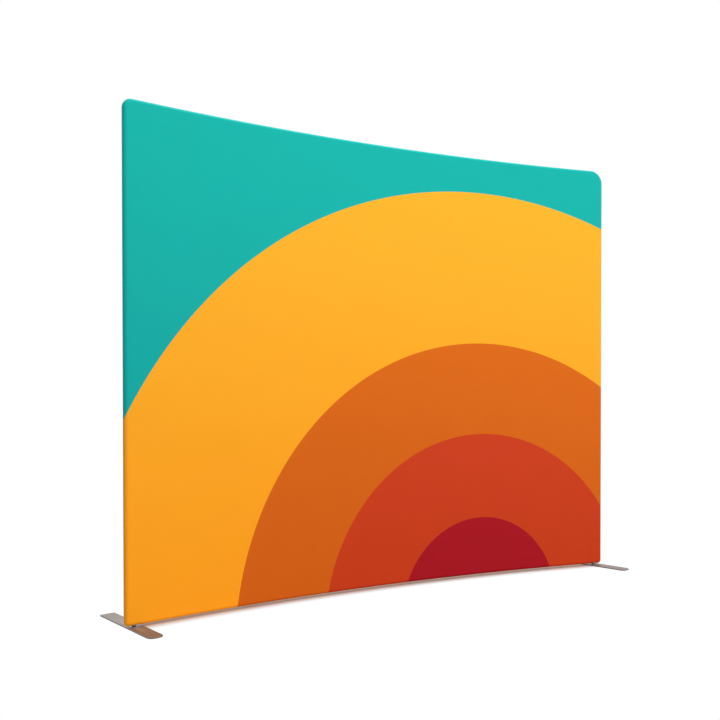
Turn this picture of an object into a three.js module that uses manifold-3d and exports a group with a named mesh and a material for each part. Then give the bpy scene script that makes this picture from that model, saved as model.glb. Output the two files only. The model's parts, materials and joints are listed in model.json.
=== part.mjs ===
// Curved fabric display wall: a stretch fabric cover zipped over a frame of round aluminium tube,
// standing on two flat steel feet. Millimetres, +X to the right, +Y to the back, +Z up.
// The wall is a stretch of a cylinder seen from above, hollow towards the front.
// Most pieces are drawn flat, as u along the wall, n to the back and z up, and then bent to that curve.
import * as THREE from "three";
import { mergeVertices } from "three/addons/utils/BufferGeometryUtils.js";
import Module from "manifold-3d";

// The wall as a whole
const HEIGHT = 2400; // floor to the top of the cover
const ARC_LENGTH = 2904; // between the end posts' axes, along the curve
const PLAN_RADIUS = 7800; // of the tubes' axis
const FLOOR_GAP = 10; // floor to the lower edge of the cover

// Tubes and the joints between them
const TUBE_RADIUS = 16;
const TUBE_WALL = 1.5;
const LEFT_TOP_BEND = 30; // radius at the tube's axis
const RIGHT_TOP_BEND = 60;
const BOTTOM_BEND_INSIDE = 2.7; // the bend's centre to the cover on the inside of the bend
const CORNER_LEG = 112; // end post's axis to the first joint of the top and bottom rails
const FITTING_RISE = 90; // bottom rail's axis to the joint under the lower posts
const FITTING_WALL = 2.5;
const LOWER_POST_LENGTH = 1130;
const CENTRE_LOWER_LENGTH = 1150;
const SPIGOT_LENGTH = 60;
const SPIGOT_WALL = 1.5;
const SPIGOT_PLAY = 0.4; // all round, in the next tube's bore
const COLLAR_LENGTH = 8; // of the collar that holds the spigot in its own tube
const COLLAR_SETBACK = 1; // joint line to the collar
const SECTIONS = 3; // of each rail

// Snap buttons and the leaf springs behind them
const BUTTON_RADIUS = 4;
const BUTTON_SETBACK = 30; // joint line to the button's axis
const BUTTON_STAND = 2; // above the tube
const BUTTON_CHAMFER = 1.2;
const FLANGE_RIM = 1; // past the button all round
const FLANGE_THICKNESS = 1;
const FLANGE_DROP = 3.6; // tube wall's inner face to the flange's upper face
const SPRING_STRIP = 0.8;
const SPRING_WIDTH = 6;
const SPRING_REACH = 29; // button's axis to the bend of the spring
const SPRING_TAIL = 5; // past the button's axis, at the open end
const SPRING_BEND = 1.9; // outside of the spring's bend to the inside

// End cups of the centre post
const CUP_HEIGHT = 14; // rail's surface to the end of the post
const CUP_HORN = 8; // rail's axis to the tips of the saddle
const CUP_PLUG_LENGTH = 40;
const CUP_PLUG_WALL = 3;
const CUP_PIN_RADIUS = 4;
const CUP_PIN_REACH = 5; // past the inner face of the rail's wall

// Feet
const FOOT_LENGTH = 520;
const FOOT_FRONT = 228; // bolt's axis to the front end
const FOOT_WIDTH = 76;
const FOOT_THICKNESS = 5;
const FOOT_FRONT_CORNER = 30;
const FOOT_BACK_CORNER = 10;
const FOOT_INSET = 32; // end post's axis to the bolt's axis
const RIGHT_FOOT_TURN = 26; // degrees from square to the wall, its front end outwards
const BOLT_RADIUS = 4;
const BOLT_HEAD_RIM = 3.6; // the countersunk head past the shank
const BOLT_GRIP = 12; // length inside the corner fitting
const BOSS_WALL = 5.7; // round the bolt's hole
const BOSS_STAND = 0.4; // the flat pad stands this far below the tube
const BOSS_CAP = 3; // metal above the end of the bolt's hole
const SPACER_WALL = 5.2; // round the bolt's hole

// Cover
const FABRIC = 1;
const FABRIC_STEP = 0.1; // the flat of the cover lies this far inside the outermost line of the tubes' skin
const FOOT_OPENING_GAP = 3; // from each foot's boss to the edge of the hole in the cover

// Zip, along the back of the cover near its lower edge
const ZIP_RISE = 62; // lower edge of the cover to the zip
const ZIP_END = 34; // end post's axis to the end of the tapes
const TAPE_WIDTH = 9;
const CHAIN_HALF_WIDTH = 2.5;
const CHAIN_HEIGHT = 1.8;
const CHAIN_END = 12; // end of the tapes to the end of the chain
const STOP_LENGTH = 4;
const STOP_RIM = 0.7; // past the chain on each side
const STOP_HEIGHT = 2.2;
const SLIDER_HALF_LENGTH = 9;
const SLIDER_WALL = 1.6; // beside the chain at the tail
const SLIDER_FLARE = 1.2; // the nose past the tail on each side
const SLIDER_HEIGHT = 4;
const SLIDER_START = 14; // end of the chain to the middle of the slider
const CROWN_HEIGHT = 3.8; // of the bridge that holds the pull
const CROWN_HALF_LENGTH = 5.2;
const CROWN_HALF_WIDTH = 1.5;
const CROWN_HOLE_HALF_LENGTH = 3.6;
const CROWN_HOLE_HEIGHT = 2.6;
const PULL_LENGTH = 30; // pin's axis to the free end
const PULL_HALF_WIDTH = 3.6;
const PULL_ARM_WIDTH = 1.4;
const PULL_EYE = 8; // pin's axis to the end of the eye
const PULL_THICKNESS = 1.2;
const PULL_LIFT = 1.3; // slider's face to the pin's axis

// Fits
const CLEARANCE = 0.3; // between pieces that touch
const OVERRUN = 1; // of cuts past the face that they open, and of joined shapes into each other

// Facets
const TUBE_SIDES = 12;
const BUTTON_SIDES = 8;
const ROUND_SIDES = 16;
const LONGEST_CHORD = 150; // in the rails and along the cover
const SHORTEST_CHORD = 1;
const TOP_BEND_STEPS = 6;
const BOTTOM_BEND_STEPS = 4;
const FOOT_CORNER_STEPS = 6;
const ROUNDING = 0.001;

// Worked out from the sizes above
const bore = TUBE_RADIUS - TUBE_WALL;
const spigotRadius = bore - SPIGOT_PLAY;
const spigotBore = spigotRadius - SPIGOT_WALL;
const fabricInner = TUBE_RADIUS + CLEARANCE;
const fabricOuter = fabricInner + FABRIC;
const railLow = FLOOR_GAP + fabricOuter;
const railHigh = HEIGHT - fabricOuter;
const bottomBendRadius = fabricOuter + BOTTOM_BEND_INSIDE;
const halfArc = ARC_LENGTH / 2;
const legEnd = halfArc - CORNER_LEG;
const sectionLength = (2 * legEnd) / SECTIONS;
const sectionChords = 2 * Math.ceil(sectionLength / 2 / LONGEST_CHORD); // even, so that one ends at u = 0
const fittingTop = railLow + FITTING_RISE;
const postJoint = fittingTop + LOWER_POST_LENGTH;
const centreFoot = railLow + TUBE_RADIUS + CUP_HEIGHT;
const centreHead = railHigh - TUBE_RADIUS - CUP_HEIGHT;
const centreJoint = centreFoot + CENTRE_LOWER_LENGTH;
const halfGap = CLEARANCE / 2;
const flangeRadius = BUTTON_RADIUS + FLANGE_RIM;
const flangeTop = bore - FLANGE_DROP;
const buttonTip = TUBE_RADIUS + BUTTON_STAND;
const boltHole = BOLT_RADIUS + CLEARANCE;
const boltHead = BOLT_RADIUS + BOLT_HEAD_RIM;
const bossRadius = boltHole + BOSS_WALL;
const bossFace = railLow - TUBE_RADIUS - BOSS_STAND;
const footU = halfArc - FOOT_INSET;
const rightFootTurn = THREE.MathUtils.degToRad(RIGHT_FOOT_TURN);
const clearOfTubes = 3 * TUBE_RADIUS;
const zipHeight = FLOOR_GAP + ZIP_RISE;
const tapeEnd = halfArc - ZIP_END;
const chainEnd = tapeEnd - CHAIN_END;
const chainFace = fabricOuter + CLEARANCE;
const sliderU = chainEnd - SLIDER_START;
const sliderTail = CHAIN_HALF_WIDTH + CLEARANCE + SLIDER_WALL;
const sliderNose = sliderTail + SLIDER_FLARE;
const sliderFace = chainFace + SLIDER_HEIGHT;
const pullAxis = sliderFace + PULL_LIFT;

const wasm = await Module();
wasm.setup();

const display = new THREE.Group();

const finishes = {
  tube: new THREE.MeshStandardMaterial({ color: 0xc2c4c6, roughness: 0.42, metalness: 1 }),
  fitting: new THREE.MeshStandardMaterial({ color: 0xa9abad, roughness: 0.5, metalness: 1 }),
  spring: new THREE.MeshStandardMaterial({ color: 0x8f9193, roughness: 0.3, metalness: 1 }),
  plastic: new THREE.MeshStandardMaterial({ color: 0x2b2c2e, roughness: 0.55, metalness: 0 }),
  foot: new THREE.MeshStandardMaterial({ color: 0xab998e, roughness: 0.4, metalness: 1 }),
  print: new THREE.MeshStandardMaterial({ color: 0xf2a227, roughness: 0.75, metalness: 0 }),
  lining: new THREE.MeshStandardMaterial({ color: 0xe9e8e4, roughness: 0.8, metalness: 0 }),
  zip: new THREE.MeshStandardMaterial({ color: 0xdedcd6, roughness: 0.7, metalness: 0 }),
  zipMetal: new THREE.MeshStandardMaterial({ color: 0xb9babb, roughness: 0.35, metalness: 1 }),
};

// Solids: a closed geometry as a solid, and a solid back as a mesh of the display.
// Corners are rounded to a fine grid, so that pieces that meet have the same ones.
function solid(geometry) {
  const shell = geometry.clone();
  shell.deleteAttribute("normal");
  shell.deleteAttribute("uv");
  const merged = mergeVertices(shell, ROUNDING);
  const vertProperties = merged.attributes.position.array.map((v) => Math.round(v / ROUNDING) * ROUNDING);
  const triVerts = new Uint32Array(merged.index.array);
  return new wasm.Manifold(new wasm.Mesh({ numProp: 3, vertProperties, triVerts }));
}

function addPiece(name, piece, finish) {
  const { vertProperties, triVerts } = piece.getMesh();
  const geometry = new THREE.BufferGeometry();
  geometry.setAttribute("position", new THREE.BufferAttribute(vertProperties, 3));
  geometry.setIndex(new THREE.BufferAttribute(triVerts, 1));
  geometry.computeVertexNormals();
  const mesh = new THREE.Mesh(geometry, finishes[finish]);
  mesh.name = name;
  display.add(mesh);
  return mesh;
}

function unite(pieces) {
  return pieces.reduce((whole, piece) => whole.add(piece));
}

// The plan curve: u is measured along the tubes' axis and n square to it, to the back
function onCurve(u, n, z) {
  const angle = u / PLAN_RADIUS;
  const radius = PLAN_RADIUS + n;
  return new THREE.Vector3(radius * Math.sin(angle), radius * Math.cos(angle) - PLAN_RADIUS, z);
}

function bend(geometry) {
  const places = geometry.attributes.position;
  for (let i = 0; i < places.count; i += 1) {
    const place = onCurve(places.getX(i), places.getY(i), places.getZ(i));
    places.setXYZ(i, place.x, place.y, place.z);
  }
  return geometry;
}

function bentSolid(geometry) {
  return solid(bend(geometry));
}

// The left top corner is tighter than the right one
function topBendRadius(side) {
  return side < 0 ? LEFT_TOP_BEND : RIGHT_TOP_BEND;
}

// Places along the wall where the long pieces have their facets' edges, from one u to another
function stations(from, to) {
  const steps = SECTIONS * sectionChords;
  const grid = Array.from({ length: steps + 1 }, (_, i) => -legEnd + (2 * legEnd * i) / steps);
  const insets = [RIGHT_TOP_BEND, LEFT_TOP_BEND, bottomBendRadius, 0];
  const ends = insets.flatMap((inset) => [inset - halfArc, halfArc - inset]);
  const all = [...grid, ...ends].sort((a, b) => a - b);
  return [from, ...all.filter((u) => u > from + SHORTEST_CHORD && u < to - SHORTEST_CHORD), to];
}

// A band of the plan between two depths, as tall as from bottom to top
function band(from, to, depths, bottom, top) {
  const along = stations(from, to);
  const front = along.map((u) => onCurve(u, depths[0], 0));
  const back = along.map((u) => onCurve(u, depths[1], 0)).reverse();
  const outline = new THREE.Shape([...front, ...back].map((p) => new THREE.Vector2(p.x, p.y)));
  const prism = new THREE.ExtrudeGeometry(outline, { depth: top - bottom, bevelEnabled: false });
  return solid(prism.translate(0, 0, bottom));
}

// A route of straight stretches through points of u and z; its steps are those stretches
class Route extends THREE.Curve {
  constructor(points) {
    super();
    this.places = points.map(([u, z]) => new THREE.Vector3(u, 0, z));
  }

  getPointAt(t) {
    return this.places[Math.round(t * (this.places.length - 1))].clone();
  }

  getTangentAt(t) {
    const i = Math.round(t * (this.places.length - 1));
    const tangent = new THREE.Vector3();
    if (i > 0) {
      tangent.add(this.places[i].clone().sub(this.places[i - 1]).normalize());
    }
    if (i < this.places.length - 1) {
      tangent.add(this.places[i + 1].clone().sub(this.places[i]).normalize());
    }
    return tangent.normalize();
  }
}

function polygon(radius, sides) {
  return Array.from({ length: sides }, (_, i) => {
    const angle = (2 * Math.PI * i) / sides;
    return new THREE.Vector2(radius * Math.cos(angle), radius * Math.sin(angle));
  });
}

function sweep(points, outer, inner = 0) {
  const section = new THREE.Shape(polygon(outer, TUBE_SIDES));
  if (inner > 0) {
    section.holes.push(new THREE.Path(polygon(inner, TUBE_SIDES)));
  }
  const route = new Route(points);
  return bentSolid(new THREE.ExtrudeGeometry(section, {
    extrudePath: route,
    steps: points.length - 1,
    bevelEnabled: false,
  }));
}

// Quarter round of a route, from the post towards the middle of the wall or back
function cornerPoints(side, radius, railZ, steps) {
  const rise = railZ > HEIGHT / 2 ? 1 : -1;
  return Array.from({ length: steps + 1 }, (_, i) => {
    const angle = (Math.PI / 2) * (i / steps);
    const u = halfArc - radius + radius * Math.cos(angle);
    return [side * u, railZ - rise * radius * (1 - Math.sin(angle))];
  });
}

// Joints: where the line between two tubes lies, where its spigot points and where its button faces
const UP = [0, 1];
const DOWN = [0, -1];
const LEFT = [-1, 0];
const RIGHT = [1, 0];
const joints = [];

function addJoint(name, at, along, facing) {
  joints.push({ name, at, along, facing });
}

function pointAlong(joint, distance) {
  return [joint.at[0] + joint.along[0] * distance, joint.at[1] + joint.along[1] * distance];
}

for (const [name, side, inward] of [["left", -1, RIGHT], ["right", 1, LEFT]]) {
  addJoint(`${name}_post_base`, [side * halfArc, fittingTop], UP, inward);
  addJoint(`${name}_post_middle`, [side * halfArc, postJoint], UP, inward);
  addJoint(`${name}_top_corner`, [side * legEnd, railHigh], inward, DOWN);
  addJoint(`${name}_bottom_corner`, [side * legEnd, railLow], inward, UP);
}
for (const [name, side] of [["left", -1], ["right", 1]]) {
  addJoint(`top_rail_${name}`, [(side * sectionLength) / 2, railHigh], RIGHT, DOWN);
  addJoint(`bottom_rail_${name}`, [(side * sectionLength) / 2, railLow], RIGHT, UP);
}
addJoint("centre_post_middle", [0, centreJoint], UP, RIGHT);

function jointNamed(name) {
  return joints.find((joint) => joint.name === name);
}

// A sleeve for the next tube, held by a collar inside the end of its own
function spigot(joint) {
  const middleOfWall = (TUBE_RADIUS + bore) / 2;
  const middleOfSleeve = (spigotRadius + spigotBore) / 2;
  const sleeveEnds = [pointAlong(joint, -COLLAR_LENGTH / 2), pointAlong(joint, SPIGOT_LENGTH)];
  const collarEnds = [pointAlong(joint, -COLLAR_LENGTH), pointAlong(joint, -COLLAR_SETBACK)];
  return sweep(sleeveEnds, spigotRadius, spigotBore).add(sweep(collarEnds, middleOfWall, middleOfSleeve));
}

// Turns a piece drawn with x back along the joint and z out through the button into the flat wall
function atButton(joint, geometry) {
  const back = new THREE.Vector3(-joint.along[0], 0, -joint.along[1]);
  const out = new THREE.Vector3(joint.facing[0], 0, joint.facing[1]);
  const across = new THREE.Vector3().crossVectors(out, back);
  const [u, z] = pointAlong(joint, BUTTON_SETBACK);
  const place = new THREE.Matrix4().makeBasis(back, across, out).setPosition(u, 0, z);
  return bentSolid(geometry.applyMatrix4(place));
}

function buttonHole(joint) {
  const radius = BUTTON_RADIUS + CLEARANCE;
  const depth = buttonTip + OVERRUN - BUTTON_RADIUS;
  const hole = new THREE.CylinderGeometry(radius, radius, depth, BUTTON_SIDES);
  return atButton(joint, hole.rotateX(Math.PI / 2).translate(0, 0, depth / 2 + BUTTON_RADIUS));
}

function button(joint) {
  const profile = [
    [0, flangeTop - FLANGE_THICKNESS],
    [flangeRadius, flangeTop - FLANGE_THICKNESS],
    [flangeRadius, flangeTop],
    [BUTTON_RADIUS, flangeTop],
    [BUTTON_RADIUS, buttonTip - BUTTON_CHAMFER],
    [BUTTON_RADIUS - BUTTON_CHAMFER, buttonTip],
    [0, buttonTip],
  ].map(([r, h]) => new THREE.Vector2(r, h));
  return atButton(joint, new THREE.LatheGeometry(profile, BUTTON_SIDES).rotateX(Math.PI / 2));
}

// A strip bent to a V: one leg under the button's flange, the other against the far side of the spigot
function leafSpring(joint) {
  const high = flangeTop - FLANGE_THICKNESS - CLEARANCE;
  const low = -(spigotBore - SPRING_STRIP - CLEARANCE);
  const knee = (high + low) / 2;
  const outline = new THREE.Shape([
    [-SPRING_TAIL, high],
    [-SPRING_TAIL, high - SPRING_STRIP],
    [flangeRadius, high - SPRING_STRIP],
    [SPRING_REACH - SPRING_BEND, knee],
    [-SPRING_TAIL, low + SPRING_STRIP],
    [-SPRING_TAIL, low],
    [SPRING_REACH, knee],
    [flangeRadius + SPRING_STRIP / 2, high],
  ].map(([x, z]) => new THREE.Vector2(x, z)));
  const strip = new THREE.ExtrudeGeometry(outline, { depth: SPRING_WIDTH, bevelEnabled: false });
  return atButton(joint, strip.translate(0, 0, -SPRING_WIDTH / 2).rotateX(Math.PI / 2));
}

// A tube along a route, with the spigots that it carries and the holes of every button in it
function tube(points, spigotNames, holeNames, wall = TUBE_WALL) {
  const pipe = sweep(points, TUBE_RADIUS, TUBE_RADIUS - wall);
  const spigots = spigotNames.map((joint) => spigot(jointNamed(joint)));
  const holes = [...spigotNames, ...holeNames].map((joint) => buttonHole(jointNamed(joint)));
  return unite([pipe, ...spigots]).subtract(unite(holes));
}

function addPosts() {
  for (const [name, side] of [["left", -1], ["right", 1]]) {
    const u = side * halfArc;
    const lower = [[u, fittingTop + halfGap], [u, postJoint - halfGap]];
    const middle = `${name}_post_middle`;
    addPiece(`${name}_post_lower`, tube(lower, [middle], [`${name}_post_base`]), "tube");
    const upper = [
      [u, postJoint + halfGap],
      ...cornerPoints(side, topBendRadius(side), railHigh, TOP_BEND_STEPS),
      [side * (legEnd + halfGap), railHigh],
    ];
    addPiece(`${name}_post_upper`, tube(upper, [`${name}_top_corner`], [middle]), "tube");
  }
}

function addRails() {
  for (const [rail, z] of [["top", railHigh], ["bottom", railLow]]) {
    const parts = ["left", "centre", "right"];
    const corners = [`left_${rail}_corner`, `right_${rail}_corner`];
    const breaks = [`${rail}_rail_left`, `${rail}_rail_right`];
    const spigots = [[breaks[0]], [breaks[1]], []];
    const holes = [[corners[0]], [breaks[0]], [breaks[1], corners[1]]];
    parts.forEach((part, i) => {
      const from = -legEnd + i * sectionLength + halfGap;
      const to = -legEnd + (i + 1) * sectionLength - halfGap;
      const points = stations(from, to).map((u) => [u, z]);
      const pipe = tube(points, spigots[i], holes[i]);
      const piece = part === "centre" ? pipe.subtract(pinHole(rail === "top" ? -1 : 1, z)) : pipe;
      addPiece(`${rail}_rail_${part}`, piece, "tube");
    });
  }
}

// Hole in a rail's wall for the pin of the centre post's cup, which lies above or below the rail
function pinHole(up, railZ) {
  const radius = CUP_PIN_RADIUS + CLEARANCE;
  return sweep([[0, railZ], [0, railZ + up * (TUBE_RADIUS + CUP_HEIGHT)]], radius);
}

function addCornerFittings() {
  for (const [name, side] of [["left", -1], ["right", 1]]) {
    const route = [
      [side * halfArc, fittingTop - halfGap],
      ...cornerPoints(side, bottomBendRadius, railLow, BOTTOM_BEND_STEPS),
      [side * (legEnd + halfGap), railLow],
    ];
    const spigots = [`${name}_post_base`, `${name}_bottom_corner`];
    const elbow = tube(route, spigots, [], FITTING_WALL);
    const boltU = side * footU;
    const holeTop = bossFace + BOLT_GRIP + CLEARANCE;
    const boss = sweep([[boltU, bossFace], [boltU, holeTop + BOSS_CAP]], bossRadius);
    const hole = sweep([[boltU, bossFace - OVERRUN], [boltU, holeTop]], boltHole);
    addPiece(`${name}_corner_fitting`, elbow.add(boss).subtract(hole), "fitting");
  }
}

// Plug with a saddle that rests on a rail and a pin into its wall; up is 1 at the lower rail and
// -1 at the upper one
function cup(railZ, up) {
  const level = (distance) => [0, railZ + up * distance];
  const shoulder = TUBE_RADIUS + CUP_HEIGHT - halfGap;
  const head = sweep([level(CUP_HORN), level(shoulder)], TUBE_RADIUS);
  const seat = sweep([[-2 * TUBE_RADIUS, railZ], [2 * TUBE_RADIUS, railZ]], fabricInner);
  const plugEnds = [level(shoulder - OVERRUN), level(shoulder + CUP_PLUG_LENGTH)];
  const plug = sweep(plugEnds, spigotRadius, spigotRadius - CUP_PLUG_WALL);
  const pin = sweep([level(bore - CUP_PIN_REACH), level(shoulder - OVERRUN)], CUP_PIN_RADIUS);
  return unite([head.subtract(seat), plug, pin]);
}

function addCentrePost() {
  const lower = [[0, centreFoot + halfGap], [0, centreJoint - halfGap]];
  const upper = [[0, centreJoint + halfGap], [0, centreHead - halfGap]];
  addPiece("centre_post_lower", tube(lower, ["centre_post_middle"], []), "tube");
  addPiece("centre_post_upper", tube(upper, [], ["centre_post_middle"]), "tube");
  addPiece("centre_post_bottom_cup", cup(railLow, 1), "plastic");
  addPiece("centre_post_top_cup", cup(railHigh, -1), "plastic");
}

function addSnapButtons() {
  for (const joint of joints) {
    addPiece(`${joint.name}_button`, button(joint), "spring");
    addPiece(`${joint.name}_spring`, leafSpring(joint), "spring");
  }
}

// Feet: flat plates square to the wall's ends, each on a countersunk bolt into its corner fitting
function footOutline() {
  const half = FOOT_WIDTH / 2;
  const front = -FOOT_FRONT;
  const back = FOOT_LENGTH - FOOT_FRONT;
  const f = FOOT_FRONT_CORNER;
  const b = FOOT_BACK_CORNER;
  const outline = new THREE.Shape();
  outline.moveTo(-half + f, front);
  outline.lineTo(half - f, front);
  outline.absarc(half - f, front + f, f, -Math.PI / 2, 0);
  outline.absarc(half - b, back - b, b, 0, Math.PI / 2);
  outline.absarc(-half + b, back - b, b, Math.PI / 2, Math.PI);
  outline.absarc(-half + f, front + f, f, Math.PI, 1.5 * Math.PI);
  return outline;
}

function turned(profile) {
  const points = profile.map(([r, h]) => new THREE.Vector2(r, h));
  return solid(new THREE.LatheGeometry(points, ROUND_SIDES).rotateX(Math.PI / 2));
}

function footPlate() {
  const plate = new THREE.ExtrudeGeometry(footOutline(), {
    depth: FOOT_THICKNESS,
    bevelEnabled: false,
    curveSegments: FOOT_CORNER_STEPS,
  });
  const mouth = boltHead + 2 * CLEARANCE;
  const countersink = turned([
    [0, -OVERRUN],
    [mouth, -OVERRUN],
    [mouth, 0],
    [boltHole, mouth - boltHole],
    [boltHole, FOOT_THICKNESS + OVERRUN],
    [0, FOOT_THICKNESS + OVERRUN],
  ]);
  return solid(plate).subtract(countersink);
}

function footBolt() {
  const neckZ = CLEARANCE + BOLT_HEAD_RIM;
  const top = bossFace + BOLT_GRIP;
  return turned([[0, CLEARANCE], [boltHead, CLEARANCE], [BOLT_RADIUS, neckZ], [BOLT_RADIUS, top], [0, top]]);
}

function footSpacer() {
  const bottom = FOOT_THICKNESS + CLEARANCE;
  const top = bossFace - CLEARANCE;
  const rim = boltHole + SPACER_WALL;
  return turned([[boltHole, bottom], [rim, bottom], [rim, top], [boltHole, top], [boltHole, bottom]]);
}

function addFeet() {
  for (const [name, side, turn] of [["left", -1, 0], ["right", 1, rightFootTurn]]) {
    const u = side * footU;
    const pieces = [
      addPiece(`${name}_foot_plate`, footPlate(), "foot"),
      addPiece(`${name}_foot_bolt`, footBolt(), "zipMetal"),
      addPiece(`${name}_foot_spacer`, footSpacer(), "plastic"),
    ];
    for (const piece of pieces) {
      piece.position.copy(onCurve(u, 0, 0));
      piece.rotation.z = turn - u / PLAN_RADIUS;
    }
  }
}

// Cover: the skin between two swollen copies of the frame's outline, parted at its seams
function envelope(radius) {
  const ring = [-1, 1].map((side) => {
    const low = stations(0, halfArc - bottomBendRadius).map((u) => [side * u, railLow]);
    const high = stations(0, halfArc - topBendRadius(side)).map((u) => [side * u, railHigh]).reverse();
    const lowCorner = cornerPoints(side, bottomBendRadius, railLow, BOTTOM_BEND_STEPS).reverse();
    const highCorner = cornerPoints(side, topBendRadius(side), railHigh, TOP_BEND_STEPS);
    return sweep([...low, ...lowCorner.slice(1), ...highCorner, ...high.slice(1)], radius);
  });
  const depth = radius - FABRIC_STEP;
  const slab = band(-halfArc, halfArc, [-depth, depth], railLow, railHigh);
  const cuts = [-1, 1].flatMap((side) => [
    cornerCut(side, bottomBendRadius, railLow, BOTTOM_BEND_STEPS),
    cornerCut(side, topBendRadius(side), railHigh, TOP_BEND_STEPS),
  ]);
  return unite([slab.subtract(unite(cuts)), ...ring]);
}

// What lies outside the rounded corner of the outline, right through the wall
function cornerCut(side, bendRadius, railZ, steps) {
  const rise = railZ > HEIGHT / 2 ? 1 : -1;
  const margin = 2 * TUBE_RADIUS;
  const outer = [
    [side * (halfArc - bendRadius), railZ + rise * margin],
    [side * (halfArc + margin), railZ + rise * margin],
    [side * (halfArc + margin), railZ - rise * bendRadius],
  ];
  const outline = [...cornerPoints(side, bendRadius, railZ, steps), ...outer];
  const shape = new THREE.Shape(outline.map(([u, z]) => new THREE.Vector2(u, z)));
  const prism = new THREE.ExtrudeGeometry(shape, { depth: 2 * margin, bevelEnabled: false });
  return bentSolid(prism.rotateX(Math.PI / 2).translate(0, margin, 0));
}

function addCover() {
  const reach = halfArc + clearOfTubes;
  const top = HEIGHT + clearOfTubes;
  const openings = [-footU, footU].map((u) => {
    return sweep([[u, FOOT_THICKNESS], [u, railLow]], bossRadius + FOOT_OPENING_GAP);
  });
  const skin = envelope(fabricOuter).subtract(envelope(fabricInner)).subtract(unite(openings));
  const slotDepths = [bore, clearOfTubes];
  const slot = band(-tapeEnd, tapeEnd, slotDepths, zipHeight - TAPE_WIDTH, zipHeight + TAPE_WIDTH);
  const behind = [halfGap, clearOfTubes];
  const frontHalf = band(-reach, reach, [-clearOfTubes, -halfGap], 0, top);
  const backHalf = band(-reach, reach, behind, zipHeight + halfGap, top).subtract(slot);
  const hemHalf = band(-reach, reach, behind, 0, zipHeight - halfGap).subtract(slot);
  addPiece("cover_front", skin.intersect(frontHalf), "print");
  addPiece("cover_back", skin.intersect(backHalf), "lining");
  addPiece("cover_hem", skin.intersect(hemHalf), "lining");
}

// Zip: two tapes in the slot of the cover, the closed chain between them, its stops, slider and pull
function addZip() {
  const ends = tapeEnd - CLEARANCE;
  const skinDepths = [fabricInner - FABRIC_STEP, fabricOuter - FABRIC_STEP];
  const near = CLEARANCE;
  const far = TAPE_WIDTH - CLEARANCE;
  addPiece("zip_tape_upper", band(-ends, ends, skinDepths, zipHeight + near, zipHeight + far), "zip");
  addPiece("zip_tape_lower", band(-ends, ends, skinDepths, zipHeight - far, zipHeight - near), "zip");
  const chainDepths = [chainFace, chainFace + CHAIN_HEIGHT];
  const chainLow = zipHeight - CHAIN_HALF_WIDTH;
  const chainHigh = zipHeight + CHAIN_HALF_WIDTH;
  addPiece("zip_chain", band(-chainEnd, chainEnd, chainDepths, chainLow, chainHigh), "zip");
  const stopDepths = [chainFace, chainFace + STOP_HEIGHT];
  for (const [name, side] of [["left", -1], ["right", 1]]) {
    const inner = side * (chainEnd + CLEARANCE);
    const outer = side * (chainEnd + CLEARANCE + STOP_LENGTH);
    const from = Math.min(inner, outer);
    const to = Math.max(inner, outer);
    const stop = band(from, to, stopDepths, chainLow - STOP_RIM, chainHigh + STOP_RIM);
    addPiece(`zip_stop_${name}`, stop, "zipMetal");
  }
  const slider = addPiece("zip_slider", zipSlider(), "zipMetal");
  const pull = addPiece("zip_pull", zipPull(), "zipMetal");
  for (const piece of [slider, pull]) {
    piece.position.copy(onCurve(sliderU, 0, zipHeight));
    piece.rotation.z = -sliderU / PLAN_RADIUS;
  }
}

// A block between two depths behind the wall, with its length and its width given as pairs
function block(lengths, depths, widths) {
  const size = [lengths, depths, widths].map(([low, high]) => high - low);
  const middle = [lengths, depths, widths].map(([low, high]) => (high + low) / 2);
  return solid(new THREE.BoxGeometry(...size).translate(...middle));
}

function evenly(half) {
  return [-half, half];
}

function zipSlider() {
  const outline = new THREE.Shape([
    [-SLIDER_HALF_LENGTH, -sliderTail],
    [0, -sliderTail],
    [SLIDER_HALF_LENGTH / 2, -sliderNose],
    [SLIDER_HALF_LENGTH, -sliderNose],
    [SLIDER_HALF_LENGTH, sliderNose],
    [SLIDER_HALF_LENGTH / 2, sliderNose],
    [0, sliderTail],
    [-SLIDER_HALF_LENGTH, sliderTail],
  ].map(([x, z]) => new THREE.Vector2(x, z)));
  const body = new THREE.ExtrudeGeometry(outline, { depth: SLIDER_HEIGHT, bevelEnabled: false });
  const housing = solid(body.rotateX(Math.PI / 2).translate(0, sliderFace, 0));
  const grooveDepths = [chainFace - OVERRUN, chainFace + CHAIN_HEIGHT + CLEARANCE];
  const grooveLengths = evenly(SLIDER_HALF_LENGTH + OVERRUN);
  const groove = block(grooveLengths, grooveDepths, evenly(CHAIN_HALF_WIDTH + CLEARANCE));
  const crownDepths = [sliderFace - OVERRUN, sliderFace + CROWN_HEIGHT];
  const crown = block(evenly(CROWN_HALF_LENGTH), crownDepths, evenly(CROWN_HALF_WIDTH));
  const eyeDepths = [sliderFace, sliderFace + CROWN_HOLE_HEIGHT];
  const eye = block(evenly(CROWN_HOLE_HALF_LENGTH), eyeDepths, evenly(CROWN_HALF_WIDTH + OVERRUN));
  return housing.subtract(groove).add(crown.subtract(eye));
}

// A flat tab whose end bar is the pin in the slider's crown
function zipPull() {
  const half = PULL_THICKNESS / 2;
  const plate = block([-PULL_LENGTH, half], [pullAxis - half, pullAxis + half], evenly(PULL_HALF_WIDTH));
  const eyeDepths = [pullAxis - half - OVERRUN, pullAxis + half + OVERRUN];
  const eye = block([-PULL_EYE, -half], eyeDepths, evenly(PULL_HALF_WIDTH - PULL_ARM_WIDTH));
  return plate.subtract(eye);
}

addPosts();
addRails();
addCornerFittings();
addCentrePost();
addSnapButtons();
addFeet();
addCover();
addZip();

// The frame's origin is on the floor, under the middle of the whole wall and its feet
display.updateMatrixWorld(true);
const middle = new THREE.Box3().setFromObject(display, true).getCenter(new THREE.Vector3());
display.position.set(-middle.x, -middle.y, 0);
display.updateMatrixWorld(true);

export default display;
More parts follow.
